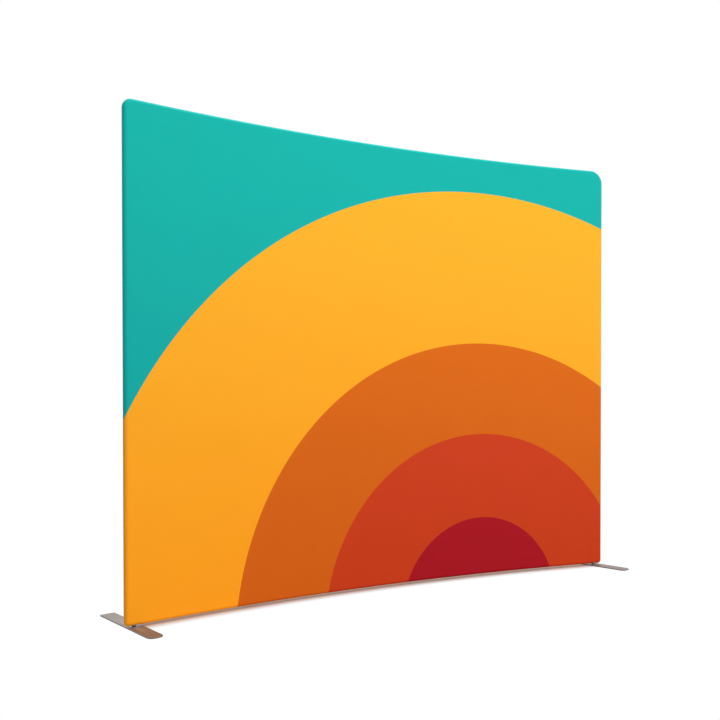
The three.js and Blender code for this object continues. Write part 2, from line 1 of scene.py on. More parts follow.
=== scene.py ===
"""The looks of a curved display wall: a printed stretch cover over a tube frame on flat feet.

Sizes are in metres. The wall is worked out flat, as u along the wall, n to the back and z up, and
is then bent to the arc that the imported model's zip slides along.
"""
import json
import logging
import math
from dataclasses import dataclass
from enum import Enum

import bmesh
import bpy
import numpy as np
from mathutils import Matrix, Vector


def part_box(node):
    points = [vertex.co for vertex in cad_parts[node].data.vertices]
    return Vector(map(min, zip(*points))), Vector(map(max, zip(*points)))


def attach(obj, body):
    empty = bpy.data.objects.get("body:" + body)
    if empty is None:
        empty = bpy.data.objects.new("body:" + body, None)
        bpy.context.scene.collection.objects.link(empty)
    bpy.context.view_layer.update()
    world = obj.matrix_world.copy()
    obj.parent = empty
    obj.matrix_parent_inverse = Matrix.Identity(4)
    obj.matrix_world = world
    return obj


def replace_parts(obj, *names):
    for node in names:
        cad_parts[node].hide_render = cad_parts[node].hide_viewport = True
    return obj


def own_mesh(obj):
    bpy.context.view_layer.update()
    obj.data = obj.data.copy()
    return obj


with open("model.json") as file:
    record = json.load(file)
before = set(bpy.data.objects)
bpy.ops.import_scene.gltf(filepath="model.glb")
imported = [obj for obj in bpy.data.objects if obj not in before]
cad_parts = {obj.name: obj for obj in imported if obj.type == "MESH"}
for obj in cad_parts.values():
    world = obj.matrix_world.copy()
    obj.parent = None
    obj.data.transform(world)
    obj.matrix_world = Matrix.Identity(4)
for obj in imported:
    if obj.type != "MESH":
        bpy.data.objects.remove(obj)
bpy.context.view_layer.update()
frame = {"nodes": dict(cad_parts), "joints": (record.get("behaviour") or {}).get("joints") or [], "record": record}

LOG = logging.getLogger("display_wall")

MM = 0.001
ROOT = "wall"
WHITE = (1.0, 1.0, 1.0, 1.0)
WELD = 0.01 * MM
FLAT_ANGLE = math.radians(1.0)
ROUNDED_ANGLE = math.radians(32.0)
ROUNDED_STEPS = 3

Piece = bpy.types.Object
Material = bpy.types.Material
Tree = bpy.types.NodeTree
Socket = bpy.types.NodeSocket


# --------------------------------------------------------------------------------------------
# The shared frame: the arc in plan, and the sizes that every sub-assembly is worked out from
# --------------------------------------------------------------------------------------------


def joint_place(name: str) -> np.ndarray:
    """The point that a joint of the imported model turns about.

    Args:
        name: the joint's name in the record.

    Returns:
        Its x, y and z.
    """
    joint = next(j for j in frame["joints"] if j["name"] == name)
    return np.array(joint["pos_m"], float)


@dataclass(frozen=True)
class PlanCurve:
    """The arc of the tubes' axis as seen from above."""

    radius: float
    centre_x: float
    centre_y: float

    def place(self, u: np.ndarray, n: np.ndarray, z: np.ndarray) -> np.ndarray:
        """Bends flat places to the arc: the angle is u over the radius, and n adds to the radius.

        Args:
            u: distances along the axis, right of the middle.
            n: distances behind the axis.
            z: heights.

        Returns:
            An array of points, as long as the inputs.
        """
        u, n, z = np.broadcast_arrays(u, n, z)
        reach = self.radius + n
        angle = u / self.radius
        x, y = reach * np.sin(angle), reach * np.cos(angle)
        return np.stack([self.centre_x + x, self.centre_y + y, z], axis=-1)

    def square(self, u: float, local: np.ndarray, turn: float = 0.0) -> np.ndarray:
        """Places a straight piece at u: its x lies along the arc and its y points to the back.

        Args:
            u: where its own origin goes.
            local: its points, as an array of x, y and z.
            turn: how far it is turned from there, anticlockwise from above.

        Returns:
            The points in the shared frame.
        """
        angle = u / self.radius - turn
        along = np.array([math.cos(angle), -math.sin(angle), 0.0])
        back = np.array([math.sin(angle), math.cos(angle), 0.0])
        up = np.array([0.0, 0.0, 1.0])
        return self.place(u, 0.0, 0.0) + local @ np.stack([along, back, up])


def plan_curve() -> PlanCurve:
    """Works out the arc from the point that the zip's slider turns about and a foot's bolt on it.

    Returns:
        The arc.
    """
    centre = joint_place("zip_slide")
    bolt = joint_place("left_foot_swivel")
    radius = float(np.hypot(*(bolt - centre)[:2]))
    return PlanCurve(radius, float(centre[0]), float(centre[1]))


@dataclass(frozen=True)
class WallSizes:
    """Sizes that the sub-assemblies share."""

    half_arc: float = 1452 * MM
    floor_gap: float = 10 * MM
    fabric_radius: float = 17.2 * MM
    fabric_stand: float = 0.1 * MM
    left_top_bend: float = 30 * MM
    right_top_bend: float = 60 * MM
    sewn_bend: float = 4 * MM
    foot_inset: float = 32 * MM
    zip_height: float = 72 * MM
    clearance: float = 0.3 * MM

    @property
    def rail_low(self) -> float:
        """Height of the bottom rail's axis."""
        return self.floor_gap + self.fabric_radius + self.fabric_stand

    @property
    def rail_high(self) -> float:
        """Height of the top rail's axis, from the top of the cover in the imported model."""
        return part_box("cover_front")[1].z - self.fabric_radius

    @property
    def foot_u(self) -> float:
        """Where the right foot's bolt lies along the wall."""
        return self.half_arc - self.foot_inset


CURVE = plan_curve()
SIZES = WallSizes()


# --------------------------------------------------------------------------------------------
# Meshes from arrays
# --------------------------------------------------------------------------------------------


def grid_faces(
    rows: int, columns: int, close_rows: bool = False, close_columns: bool = False
) -> np.ndarray:
    """Four-sided faces between the points of a grid that is stored row after row.

    Args:
        rows: how many rows of points there are.
        columns: how many points a row has.
        close_rows: whether the last row joins the first one.
        close_columns: whether each row is a ring.

    Returns:
        An array with four point numbers for each face.
    """
    numbers = np.arange(rows * columns).reshape(rows, columns)
    if close_rows:
        numbers = np.vstack([numbers, numbers[:1]])
    if close_columns:
        numbers = np.hstack([numbers, numbers[:, :1]])
    corners = [numbers[:-1, :-1], numbers[:-1, 1:], numbers[1:, 1:], numbers[1:, :-1]]
    return np.stack(corners, axis=-1).reshape(-1, 4)


def smooth(share: np.ndarray) -> np.ndarray:
    """A smooth step: three times the square less twice the cube."""
    return share**2 * (3 - 2 * share)


def even_places(length: float, pitch: float) -> np.ndarray:
    """Places a pitch apart, as many as a length holds, with their middle at 0."""
    count = int(length / pitch)
    return (np.arange(count) - (count - 1) / 2) * pitch


def repeated(points: np.ndarray, faces: np.ndarray) -> tuple[np.ndarray, np.ndarray]:
    """Joins copies of one shape into a single list of points and faces.

    Args:
        points: the copies' points, as copies by points by three.
        faces: the faces of one copy.

    Returns:
        All the points and all the faces.
    """
    copies, count = points.shape[:2]
    shifts = np.arange(copies)[:, None, None] * count
    return points.reshape(-1, 3), (faces[None] + shifts).reshape(-1, faces.shape[1])


def build(
    name: str,
    points: np.ndarray,
    faces: np.ndarray,
    material: Material,
    body: str = ROOT,
    maps: dict[str, np.ndarray] | None = None,
    sharp_degrees: float = 40.0,
) -> Piece:
    """Makes a piece from arrays, with smooth shading up to an angle, and puts it on its body.

    Args:
        name: the piece's name.
        points: its points in the shared frame.
        faces: its faces, as rows of point numbers.
        material: its finish.
        body: the body that it rides on.
        maps: for each UV map, one pair of numbers for each point.
        sharp_degrees: edges that turn by more than this stay sharp.

    Returns:
        The new object.
    """
    mesh = bpy.data.meshes.new(name)
    mesh.from_pydata(points.reshape(-1, 3).tolist(), [], faces.tolist())
    corner_points = np.empty(len(mesh.loops), np.int32)
    mesh.loops.foreach_get("vertex_index", corner_points)
    for map_name, values in (maps or {}).items():
        layer = mesh.uv_layers.new(name=map_name)
        corners = values.reshape(-1, 2)[corner_points].astype(np.float32)
        layer.data.foreach_set("uv", corners.ravel())
    mesh.shade_smooth()
    mesh.set_sharp_from_angle(angle=math.radians(sharp_degrees))
    mesh.materials.append(material)
    piece = bpy.data.objects.new(name, mesh)
    bpy.context.scene.collection.objects.link(piece)
    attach(piece, body)
    size = (len(mesh.vertices), len(mesh.polygons))
    LOG.info("%s: %d points, %d faces on %s", name, *size, body)
    return piece


def thickened(piece: Piece, thickness: float) -> Piece:
    """Gives a sheet its thickness, behind its outer face.

    Args:
        piece: the sheet.
        thickness: how thick it is.

    Returns:
        The same piece.
    """
    solidify = piece.modifiers.new("thickness", "SOLIDIFY")
    solidify.thickness = thickness
    solidify.offset = -1.0
    solidify.use_even_offset = True
    return piece


def rounded_copy(
    node: str,
    name: str,
    material: Material,
    edge: float,
    body: str = ROOT,
) -> Piece:
    """Copies a CAD node, makes its flat faces whole again and rounds its edges.

    Args:
        node: the node that it stands for.
        name: the piece's name.
        material: its finish.
        edge: the radius of the rounding.
        body: the body that it rides on.

    Returns:
        The new object.
    """
    shell = bmesh.new()
    shell.from_mesh(frame["nodes"][node].data)
    bmesh.ops.remove_doubles(shell, verts=shell.verts, dist=WELD)
    bmesh.ops.dissolve_limit(
        shell, angle_limit=FLAT_ANGLE, verts=shell.verts, edges=shell.edges
    )
    bmesh.ops.recalc_face_normals(shell, faces=shell.faces)
    mesh = bpy.data.meshes.new(name)
    shell.to_mesh(mesh)
    shell.free()
    mesh.materials.clear()
    mesh.materials.append(material)
    mesh.shade_smooth()
    piece = bpy.data.objects.new(name, mesh)
    bpy.context.scene.collection.objects.link(piece)
    bevel = piece.modifiers.new("rounded edges", "BEVEL")
    bevel.width = edge
    bevel.segments = ROUNDED_STEPS
    bevel.limit_method = "ANGLE"
    bevel.angle_limit = ROUNDED_ANGLE
    bevel.harden_normals = True
    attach(piece, body)
    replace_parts(piece, node)
    LOG.info("%s: rounded by %.2f mm on %s", name, edge / MM, body)
    return piece


# --------------------------------------------------------------------------------------------
# Finishes
# --------------------------------------------------------------------------------------------


def linear(code: str) -> tuple[float, float, float, float]:
    """Turns an sRGB hex colour to linear red, green, blue and alpha.

    Args:
        code: six hex digits, such as "ff8800".

    Returns:
        The linear colour, opaque.
    """
    values = [int(code[i : i + 2], 16) / 255 for i in (0, 2, 4)]
    red, green, blue = (v / 12.92 if v <= 0.04045 else ((v + 0.055) / 1.055) ** 2.4 for v in values)
    return (red, green, blue, 1.0)


def add_node(
    tree: Tree, kind: str, inputs: dict[int | str, object] | None = None, **settings: object
) -> bpy.types.Node:
    """Adds a node with its settings, values and links.

    Args:
        tree: the material's or world's node tree.
        kind: the node's type, such as "ShaderNodeMath".
        inputs: for each input's name or number, a value, or the output that feeds it.
        **settings: attributes of the node.

    Returns:
        The new node.
    """
    node = tree.nodes.new(kind)
    for key, value in settings.items():
        setattr(node, key, value)
    for key, value in (inputs or {}).items():
        if isinstance(value, Socket):
            tree.links.new(value, node.inputs[key])
        else:
            node.inputs[key].default_value = value
    return node


def math_node(tree: Tree, operation: str, *values: float | Socket) -> Socket:
    """The result of one sum on numbers or outputs."""
    node = add_node(tree, "ShaderNodeMath", dict(enumerate(values)), operation=operation)
    return node.outputs[0]


def length_node(tree: Tree, first: Socket, second: Socket) -> Socket:
    """The long side of a right angle: the square root of the sum of two squares."""
    square = math_node(tree, "MULTIPLY", first, first)
    return math_node(tree, "SQRT", math_node(tree, "MULTIPLY_ADD", second, second, square))


def mixed(tree: Tree, share: float | Socket, first: object, second: object) -> Socket:
    """A colour between two, by a share that is a number or an output."""
    inputs = {0: share, 6: first, 7: second}
    return add_node(tree, "ShaderNodeMix", inputs, data_type="RGBA").outputs[2]


def ramped(
    tree: Tree,
    value: Socket,
    low: float,
    high: float,
    to_low: float = 0.0,
    to_high: float = 1.0,
) -> Socket:
    """Carries a number smoothly from one range to another, and holds it at the ends.

    Args:
        tree: the material's or world's node tree.
        value: the number.
        low: the start of its range.
        high: the end of its range.
        to_low: what the start becomes.
        to_high: what the end becomes.

    Returns:
        The new number.
    """
    inputs = {"Value": value, "From Min": low, "From Max": high}
    inputs |= {"To Min": to_low, "To Max": to_high}
    node = add_node(tree, "ShaderNodeMapRange", inputs, interpolation_type="SMOOTHSTEP")
    return node.outputs["Result"]


class Finish:
    """A material under way: its tree, its shader and the output to link the surface to."""

    def __init__(self, name: str, **sockets: float) -> None:
        """Starts a material on the standard shader.

        Args:
            name: the material's name.
            **sockets: values of the shader's sockets, with _ for a space in the name.
        """
        self.material = bpy.data.materials.new(name)
        self.material.use_nodes = True
        self.tree = self.material.node_tree
        self.shader = self.tree.nodes["Principled BSDF"]
        for key, value in sockets.items():
            self.shader.inputs[key.replace("_", " ")].default_value = value

    def feed(self, socket: str, output: Socket) -> None:
        """Links an output to one of the shader's sockets."""
        self.tree.links.new(output, self.shader.inputs[socket])

    def tint(self, share: Socket, first: str, second: str) -> None:
        """Colours the surface between two hex colours, by a share."""
        self.feed("Base Color", mixed(self.tree, share, linear(first), linear(second)))

    def noise(self, vector: Socket, size: float, detail: float = 3.0) -> Socket:
        """A cloudy value with blots of a real size.

        Args:
            vector: the coordinates, in metres.
            size: the width of a blot in metres.
            detail: how many finer layers it has.

        Returns:
            The value, around a half.
        """
        inputs = {"Vector": vector, "Scale": 1.0 / size, "Detail": detail}
        return add_node(self.tree, "ShaderNodeTexNoise", inputs).outputs["Fac"]

    def ripple(self, coordinate: Socket, pitch: float) -> Socket:
        """A sine wave of a coordinate in metres, from 0 to 1, that repeats at each pitch."""
        turn = math_node(self.tree, "MULTIPLY", coordinate, 2 * math.pi / pitch)
        return math_node(self.tree, "MULTIPLY_ADD", math_node(self.tree, "SINE", turn), 0.5, 0.5)

    def relief(self, height: Socket, depth: float) -> None:
        """Raises the surface by a height from 0 to 1, times a depth in metres."""
        inputs = {"Height": height, "Distance": depth, "Strength": 1.0}
        self.feed("Normal", add_node(self.tree, "ShaderNodeBump", inputs).outputs["Normal"])

    def scaled(self, vector: Socket, factors: tuple[float, float, float]) -> Socket:
        """Coordinates stretched by a factor along each axis."""
        inputs = {"Vector": vector, "Scale": factors}
        return add_node(self.tree, "ShaderNodeMapping", inputs).outputs["Vector"]

    def cloth_map(self, name: str) -> tuple[Socket, Socket, Socket]:
        """Reads one of the piece's UV maps, which are in metres.

        Args:
            name: the map's name.

        Returns:
            Its vector, and its two coordinates.
        """
        vector = add_node(self.tree, "ShaderNodeUVMap", uv_map=name).outputs["UV"]
        parts = add_node(self.tree, "ShaderNodeSeparateXYZ", {"Vector": vector})
        return vector, parts.outputs["X"], parts.outputs["Y"]

    def place(self) -> Socket:
        """The place on the object, in metres."""
        return add_node(self.tree, "ShaderNodeTexCoord").outputs["Object"]


@dataclass(frozen=True)
class Knit:
    """Warp-knitted stretch polyester: satin, smooth and a little soft at grazing angles.

    Its courses and wales are 0.45 mm apart on the real cloth and are drawn at 2.4 mm, so that they
    show.
    """

    roughness: float = 0.62
    gloss: float = 0.10
    sheen: float = 0.01
    stitch: float = 2.4 * MM
    relief: float = 0.10 * MM
    crease_width: float = 4 * MM
    pucker_pitch: float = 11 * MM
    pucker_reach: float = 16 * MM
    pucker_depth: float = 0.5 * MM
    pucker_cloud: float = 60 * MM

    def start(self, name: str) -> Finish:
        """Starts a material with the knit's gloss."""
        gloss = {"Specular_IOR_Level": self.gloss, "Sheen_Weight": self.sheen}
        return Finish(name, Roughness=self.roughness, **gloss)

    def surface(self, finish: Finish) -> Socket:
        """Gives a finish the knit's relief and the small puckers along its seams.

        Args:
            finish: the material under way.

        Returns:
            A value from 0 to 1 that is 1 in the seam's crease, the mask of the painted shade there.
        """
        vector, across, up = finish.cloth_map("cloth")
        _, along, inside = finish.cloth_map("seam")
        tree = finish.tree
        courses, wales = finish.ripple(across, self.stitch), finish.ripple(up, self.stitch)
        loops = math_node(tree, "MULTIPLY", courses, wales)
        # The mask of the painted shade in the seam's crease.
        crease = ramped(tree, inside, 0.0, self.crease_width, 1.0, 0.0)
        near = ramped(tree, inside, 0.0, self.pucker_reach, 1.0, 0.0)
        uneven = finish.noise(vector, self.pucker_cloud, 1.0)
        pucker = math_node(tree, "MULTIPLY", finish.ripple(along, self.pucker_pitch), near)
        pucker = math_node(tree, "MULTIPLY", pucker, uneven)
        height = math_node(tree, "MULTIPLY_ADD", loops, self.relief / self.pucker_depth, pucker)
        finish.relief(height, self.pucker_depth)
        return crease


class Band(Enum):
    """The print's bands from the inside out: outer radius, colour at the top, colour at the floor, which is
    darker.
    """

    CORE = (0.52, "b80f1e", "a4081a")
    INNER = (1.00, "dd4122", "c43a10")
    MIDDLE = (1.52, "e46f0a", "d05f08")
    OUTER = (2.38, "feb527", "fca017")
    GROUND = (math.inf, "04b4aa", "009f9f")


@dataclass(frozen=True)
class PrintedArches:
    """Dye-printed knit: a generic print of wide concentric arches, each band darker towards the bottom."""

    knit: Knit = Knit()
    centre_u: float = 0.62
    centre_z: float = -0.18
    edge: float = 1.2 * MM
    height: float = 2.4
    cloud: float = 220 * MM
    cloud_share: float = 0.05
    cloud_ink: str = "3a1a08"
    crease_share: float = 0.45
    # Painted shade: the colour that darkens the seam's crease.
    painted_crease_shade: str = "2a140a"

    def material(self) -> Material:
        """Makes the material: a band's ink is chosen by the distance from the arches' centre.

        Returns:
            The material.
        """
        finish = self.knit.start("dye-printed knit")
        tree = finish.tree
        vector, across, up = finish.cloth_map("cloth")
        # Each band's colour goes darker from the top down to the floor, by the height.
        lift = ramped(tree, up, 0.0, self.height)
        side = math_node(tree, "SUBTRACT", across, self.centre_u)
        rise = math_node(tree, "SUBTRACT", up, self.centre_z)
        distance = length_node(tree, side, rise)
        core, *outer = (band.value for band in Band)
        radius, upper, lower = core
        ink = mixed(tree, lift, linear(lower), linear(upper))
        for next_radius, upper, lower in outer:
            outside = ramped(tree, distance, radius - self.edge, radius + self.edge)
            shade = mixed(tree, lift, linear(lower), linear(upper))
            ink = mixed(tree, outside, ink, shade)
            radius = next_radius
        blots = finish.noise(vector, self.cloud, 4.0)
        clouds = math_node(tree, "MULTIPLY", blots, self.cloud_share)
        # Painted shade: the print is darkened in the seam's crease, where the two panels meet.
        crease = math_node(tree, "MULTIPLY", self.knit.surface(finish), self.crease_share)
        ink = mixed(tree, clouds, ink, linear(self.cloud_ink))
        finish.feed("Base Color", mixed(tree, crease, ink, linear(self.painted_crease_shade)))
        return finish.material


@dataclass(frozen=True)
class PlainKnit:
    """Undyed white knit, as on the back of a single-sided print: warmer where the clouds are."""

    knit: Knit = Knit()
    colour: str = "ecebe8"
    shade: str = "e6e5e1"
    cloud: float = 180 * MM
    crease_share: float = 0.5
    # Painted shade: the grey that darkens the seam's crease.
    painted_crease_grey: str = "8d8a84"

    def material(self) -> Material:
        """Makes the material: soft clouds of shade, and painted grey shade in the seam's crease.

        Returns:
            The material.
        """
        finish = self.knit.start("white stretch knit")
        tree = finish.tree
        vector, _, _ = finish.cloth_map("cloth")
        clouds = finish.noise(vector, self.cloud, 4.0)
        # Painted shade in the seam's crease.
        crease = math_node(tree, "MULTIPLY", self.knit.surface(finish), self.crease_share)
        cloth = mixed(tree, clouds, linear(self.colour), linear(self.shade))
        finish.feed("Base Color", mixed(tree, crease, cloth, linear(self.painted_crease_grey)))
        return finish.material


@dataclass(frozen=True)
class BrushedPlate:
    """Cold-rolled steel plate, brushed lengthwise under a warm metallic lacquer.

    It gives a streaked, satin bronze grey that mirrors little. The brush lines are 0.2 mm apart on
    the real plate and are drawn at 1.6 mm, so that they show.
    """

    metallic: float = 0.3
    smoothest: float = 0.36
    roughest: float = 0.54
    line: float = 1.6 * MM
    run: float = 90 * MM
    relief: float = 0.03 * MM
    cloud: float = 45 * MM
    # Painted highlight: the band along the rounded edge where the rim is lightened.
    highlight_start: float = 0.3 * MM
    highlight_end: float = 1.8 * MM
    highlight_share: float = 0.7
    # Painted shade: how far the dark colour reaches onto the plate's sides.
    side_shade_reach: float = 0.5 * MM
    colour: str = "85786f"
    dark: str = "756860"
    rim_highlight_colour: str = "b3a69c"
    # Painted shade on the plate's sides.
    side_shade_colour: str = "4a3f3a"

    def material(self) -> Material:
        """Makes the material: streaks along the plate, a painted highlight on the rim and painted shade on the
        sides.

        Returns:
            The material.
        """
        finish = Finish("brushed steel plate, warm lacquer", Metallic=self.metallic)
        tree = finish.tree
        vector, _, _ = finish.cloth_map("plate")
        _, inside, _ = finish.cloth_map("rim")
        brushed = finish.scaled(vector, (1.0 / self.line, 1.0 / self.run, 1.0))
        streaks = finish.noise(brushed, 1.0, 4.0)
        clouds = math_node(tree, "MULTIPLY", finish.noise(vector, self.cloud), 0.5)
        colour = linear(self.colour)
        tint = mixed(tree, ramped(tree, streaks, 0.3, 0.7), linear(self.dark), colour)
        tint = mixed(tree, clouds, tint, colour)
        # Painted highlight: the rim is lightened along the rounded edge.
        rim_highlight = ramped(tree, inside, self.highlight_start, self.highlight_end, self.highlight_share, 0.0)
        tint = mixed(tree, rim_highlight, tint, linear(self.rim_highlight_colour))
        # Painted shade: the plate's sides are darkened.
        side_shade = ramped(tree, inside, -self.side_shade_reach, 0.0, 1.0, 0.0)
        finish.feed("Base Color", mixed(tree, side_shade, tint, linear(self.side_shade_colour)))
        rough = ramped(tree, streaks, 0.2, 0.8, self.smoothest, self.roughest)
        finish.feed("Roughness", rough)
        finish.relief(streaks, self.relief)
        return finish.material


@dataclass(frozen=True)
class SatinMetal:
    """A metal with a fine even grain: anodised tube, blasted casting, plate or spring steel."""

    name: str
    colour: str
    dark: str
    roughness: float
    grain: float
    relief: float
    stretch: tuple[float, float, float] = (1.0, 1.0, 1.0)
    cloud: float = 30 * MM
    smoother: float = 0.05
    rougher: float = 0.07

    def material(self) -> Material:
        """Makes the material: the grain moves the tint, the roughness and the surface a little.

        Returns:
            The material.
        """
        finish = Finish(self.name, Metallic=1.0)
        tree = finish.tree
        grain = finish.noise(finish.scaled(finish.place(), self.stretch), self.grain)
        clouds = finish.noise(finish.place(), self.cloud)
        half_grain = math_node(tree, "MULTIPLY", grain, 0.5)
        both = math_node(tree, "MULTIPLY_ADD", clouds, 0.5, half_grain)
        finish.tint(ramped(tree, both, 0.3, 0.7), self.dark, self.colour)
        low, high = self.roughness - self.smoother, self.roughness + self.rougher
        finish.feed("Roughness", ramped(tree, grain, 0.25, 0.75, low, high))
        finish.relief(grain, self.relief)
        return finish.material


@dataclass(frozen=True)
class MouldedPolymer:
    """Injection-moulded nylon or acetal with a fine spark-eroded texture, a little scuffed."""

    name: str
    colour: str
    scuff: str
    roughness: float
    grain: float = 0.8 * MM
    relief: float = 0.02 * MM
    index: float = 1.53
    scuff_size: float = 14 * MM
    smoother: float = 0.06
    rougher: float = 0.1

    def material(self) -> Material:
        """Makes the material: scuffed spots are lighter and rougher.

        Returns:
            The material.
        """
        finish = Finish(self.name, IOR=self.index)
        tree = finish.tree
        spots = finish.noise(finish.place(), self.scuff_size, 4.0)
        finish.tint(ramped(tree, spots, 0.55, 0.8), self.colour, self.scuff)
        low, high = self.roughness - self.smoother, self.roughness + self.rougher
        finish.feed("Roughness", ramped(tree, spots, 0.3, 0.7, low, high))
        finish.relief(finish.noise(finish.place(), self.grain, 2.0), self.relief)
        return finish.material


@dataclass(frozen=True)
class WovenTape:
    """Polyester zip tape: a tight rib weave, its ribs 0.5 mm apart and drawn at 1.2 mm."""

    rib: float = 1.2 * MM
    relief: float = 0.12 * MM
    roughness: float = 0.72
    colour: str = "e4e2dc"
    shade: str = "bcb9b1"

    def material(self) -> Material:
        """Makes the material: ribs run across the tape, and the threads between are darker.

        Returns:
            The material.
        """
        finish = Finish("woven polyester tape", Roughness=self.roughness, Sheen_Weight=0.1)
        _, along, across = finish.cloth_map("cloth")
        long_way, short_way = finish.ripple(along, self.rib), finish.ripple(across, self.rib / 2)
        ribs = math_node(finish.tree, "MULTIPLY", long_way, short_way)
        finish.tint(ramped(finish.tree, ribs, 0.0, 0.5), self.shade, self.colour)
        finish.relief(ribs, self.relief)
        return finish.material


@dataclass(frozen=True)
class SpunThread:
    """Spun polyester sewing thread: two plies with a soft fuzz, their twist drawn at 0.8 mm."""

    twist: float = 0.8 * MM
    relief: float = 0.05 * MM
    roughness: float = 0.7
    colour: str = "dedbd4"
    shade: str = "b5b1a8"

    def material(self) -> Material:
        """Makes the material: the plies are slanting stripes of shade.

        Returns:
            The material.
        """
        finish = Finish("spun polyester thread", Roughness=self.roughness, Sheen_Weight=0.1)
        parts = add_node(finish.tree, "ShaderNodeSeparateXYZ", {"Vector": finish.place()})
        slant = math_node(finish.tree, "ADD", parts.outputs["X"], parts.outputs["Z"])
        plies = finish.ripple(slant, self.twist)
        finish.tint(plies, self.shade, self.colour)
        finish.relief(plies, self.relief)
        return finish.material


# --------------------------------------------------------------------------------------------
# The cover
# --------------------------------------------------------------------------------------------


@dataclass(frozen=True)
class Outline:
    """The rounded rectangle that the cover's roll follows, in u and z.

    The top corners lie on the tubes, the left one tighter. The bottom corners are sewn squarer than
    the tubes' own bends, and stand off them a little.
    """

    half: float = SIZES.half_arc
    low: float = SIZES.rail_low
    high: float = SIZES.rail_high
    low_bend: float = SIZES.sewn_bend
    left_bend: float = SIZES.left_top_bend
    right_bend: float = SIZES.right_top_bend
    low_steps: int = 8
    high_steps: int = 14
    closest: float = 0.06 * MM

    def bend(self, u: np.ndarray, z: np.ndarray) -> np.ndarray:
        """The radius of the corner that is nearest to each point."""
        high_bend = np.where(u < 0, self.left_bend, self.right_bend)
        return np.where(z < (self.low + self.high) / 2, self.low_bend, high_bend)

    def edge(self, share: np.ndarray, z: np.ndarray) -> np.ndarray:
        """The u of a share of the way from the middle to a side, at each height.

        The side stands at half the width, less what the round corner takes away: the radius less
        the square root of its square less the square of the height gone into the corner.

        Args:
            share: from -1 at the left side to 1 at the right side.
            z: heights.

        Returns:
            Distances along the wall.
        """
        bend = self.bend(share, z)
        into = np.clip(np.maximum(self.low + bend - z, z - self.high + bend), 0, bend)
        return share * (self.half - bend + np.sqrt(bend**2 - into**2))

    def outward(self, u: np.ndarray, z: np.ndarray) -> np.ndarray:
        """The direction out of the outline at points on it: away from the nearest core point.

        Args:
            u: the points' u.
            z: the points' z.

        Returns:
            Unit vectors of u and z.
        """
        bend = self.bend(u, z)
        away_u = u - np.clip(u, bend - self.half, self.half - bend)
        away_z = z - np.clip(z, self.low + bend, self.high - bend)
        away = np.stack([away_u, away_z], axis=-1)
        return away / np.linalg.norm(away, axis=-1, keepdims=True)

    def heights(self, start: float, stop: float, pitch: float = 45 * MM) -> np.ndarray:
        """Heights for the rows of a panel: close together in the round corners, even in between.

        Args:
            start: the lowest row.
            stop: the highest row.
            pitch: about how far apart the even rows are.

        Returns:
            The rows' heights, from start to stop.
        """
        high_turn = np.linspace(0, math.pi / 2, self.high_steps + 1)
        low_turn = np.linspace(0, math.pi / 2, self.low_steps + 1)
        high_bends = np.array([[self.left_bend], [self.right_bend]])
        low_rows = self.low + self.low_bend * (1 - np.cos(low_turn))
        high_rows = self.high - high_bends * (1 - np.cos(high_turn))
        first, last = low_rows[-1], self.high - high_bends.max()
        even = np.linspace(first, last, round((last - first) / pitch) + 1)
        rows = np.sort(np.concatenate([low_rows, even, high_rows.ravel()]))
        rows = rows[np.append(np.diff(rows) > self.closest, True)]
        inner = rows[(rows > start + self.closest) & (rows < stop - self.closest)]
        return np.concatenate([[start], inner, [stop]])


class Side(Enum):
    """Which way a panel faces."""

    FRONT = -1
    BACK = 1


class Edges(Enum):
    """Which edges of a panel wrap round the frame."""

    ALL = "all"
    UPPER = "sides and top"
    LOWER = "sides and bottom"


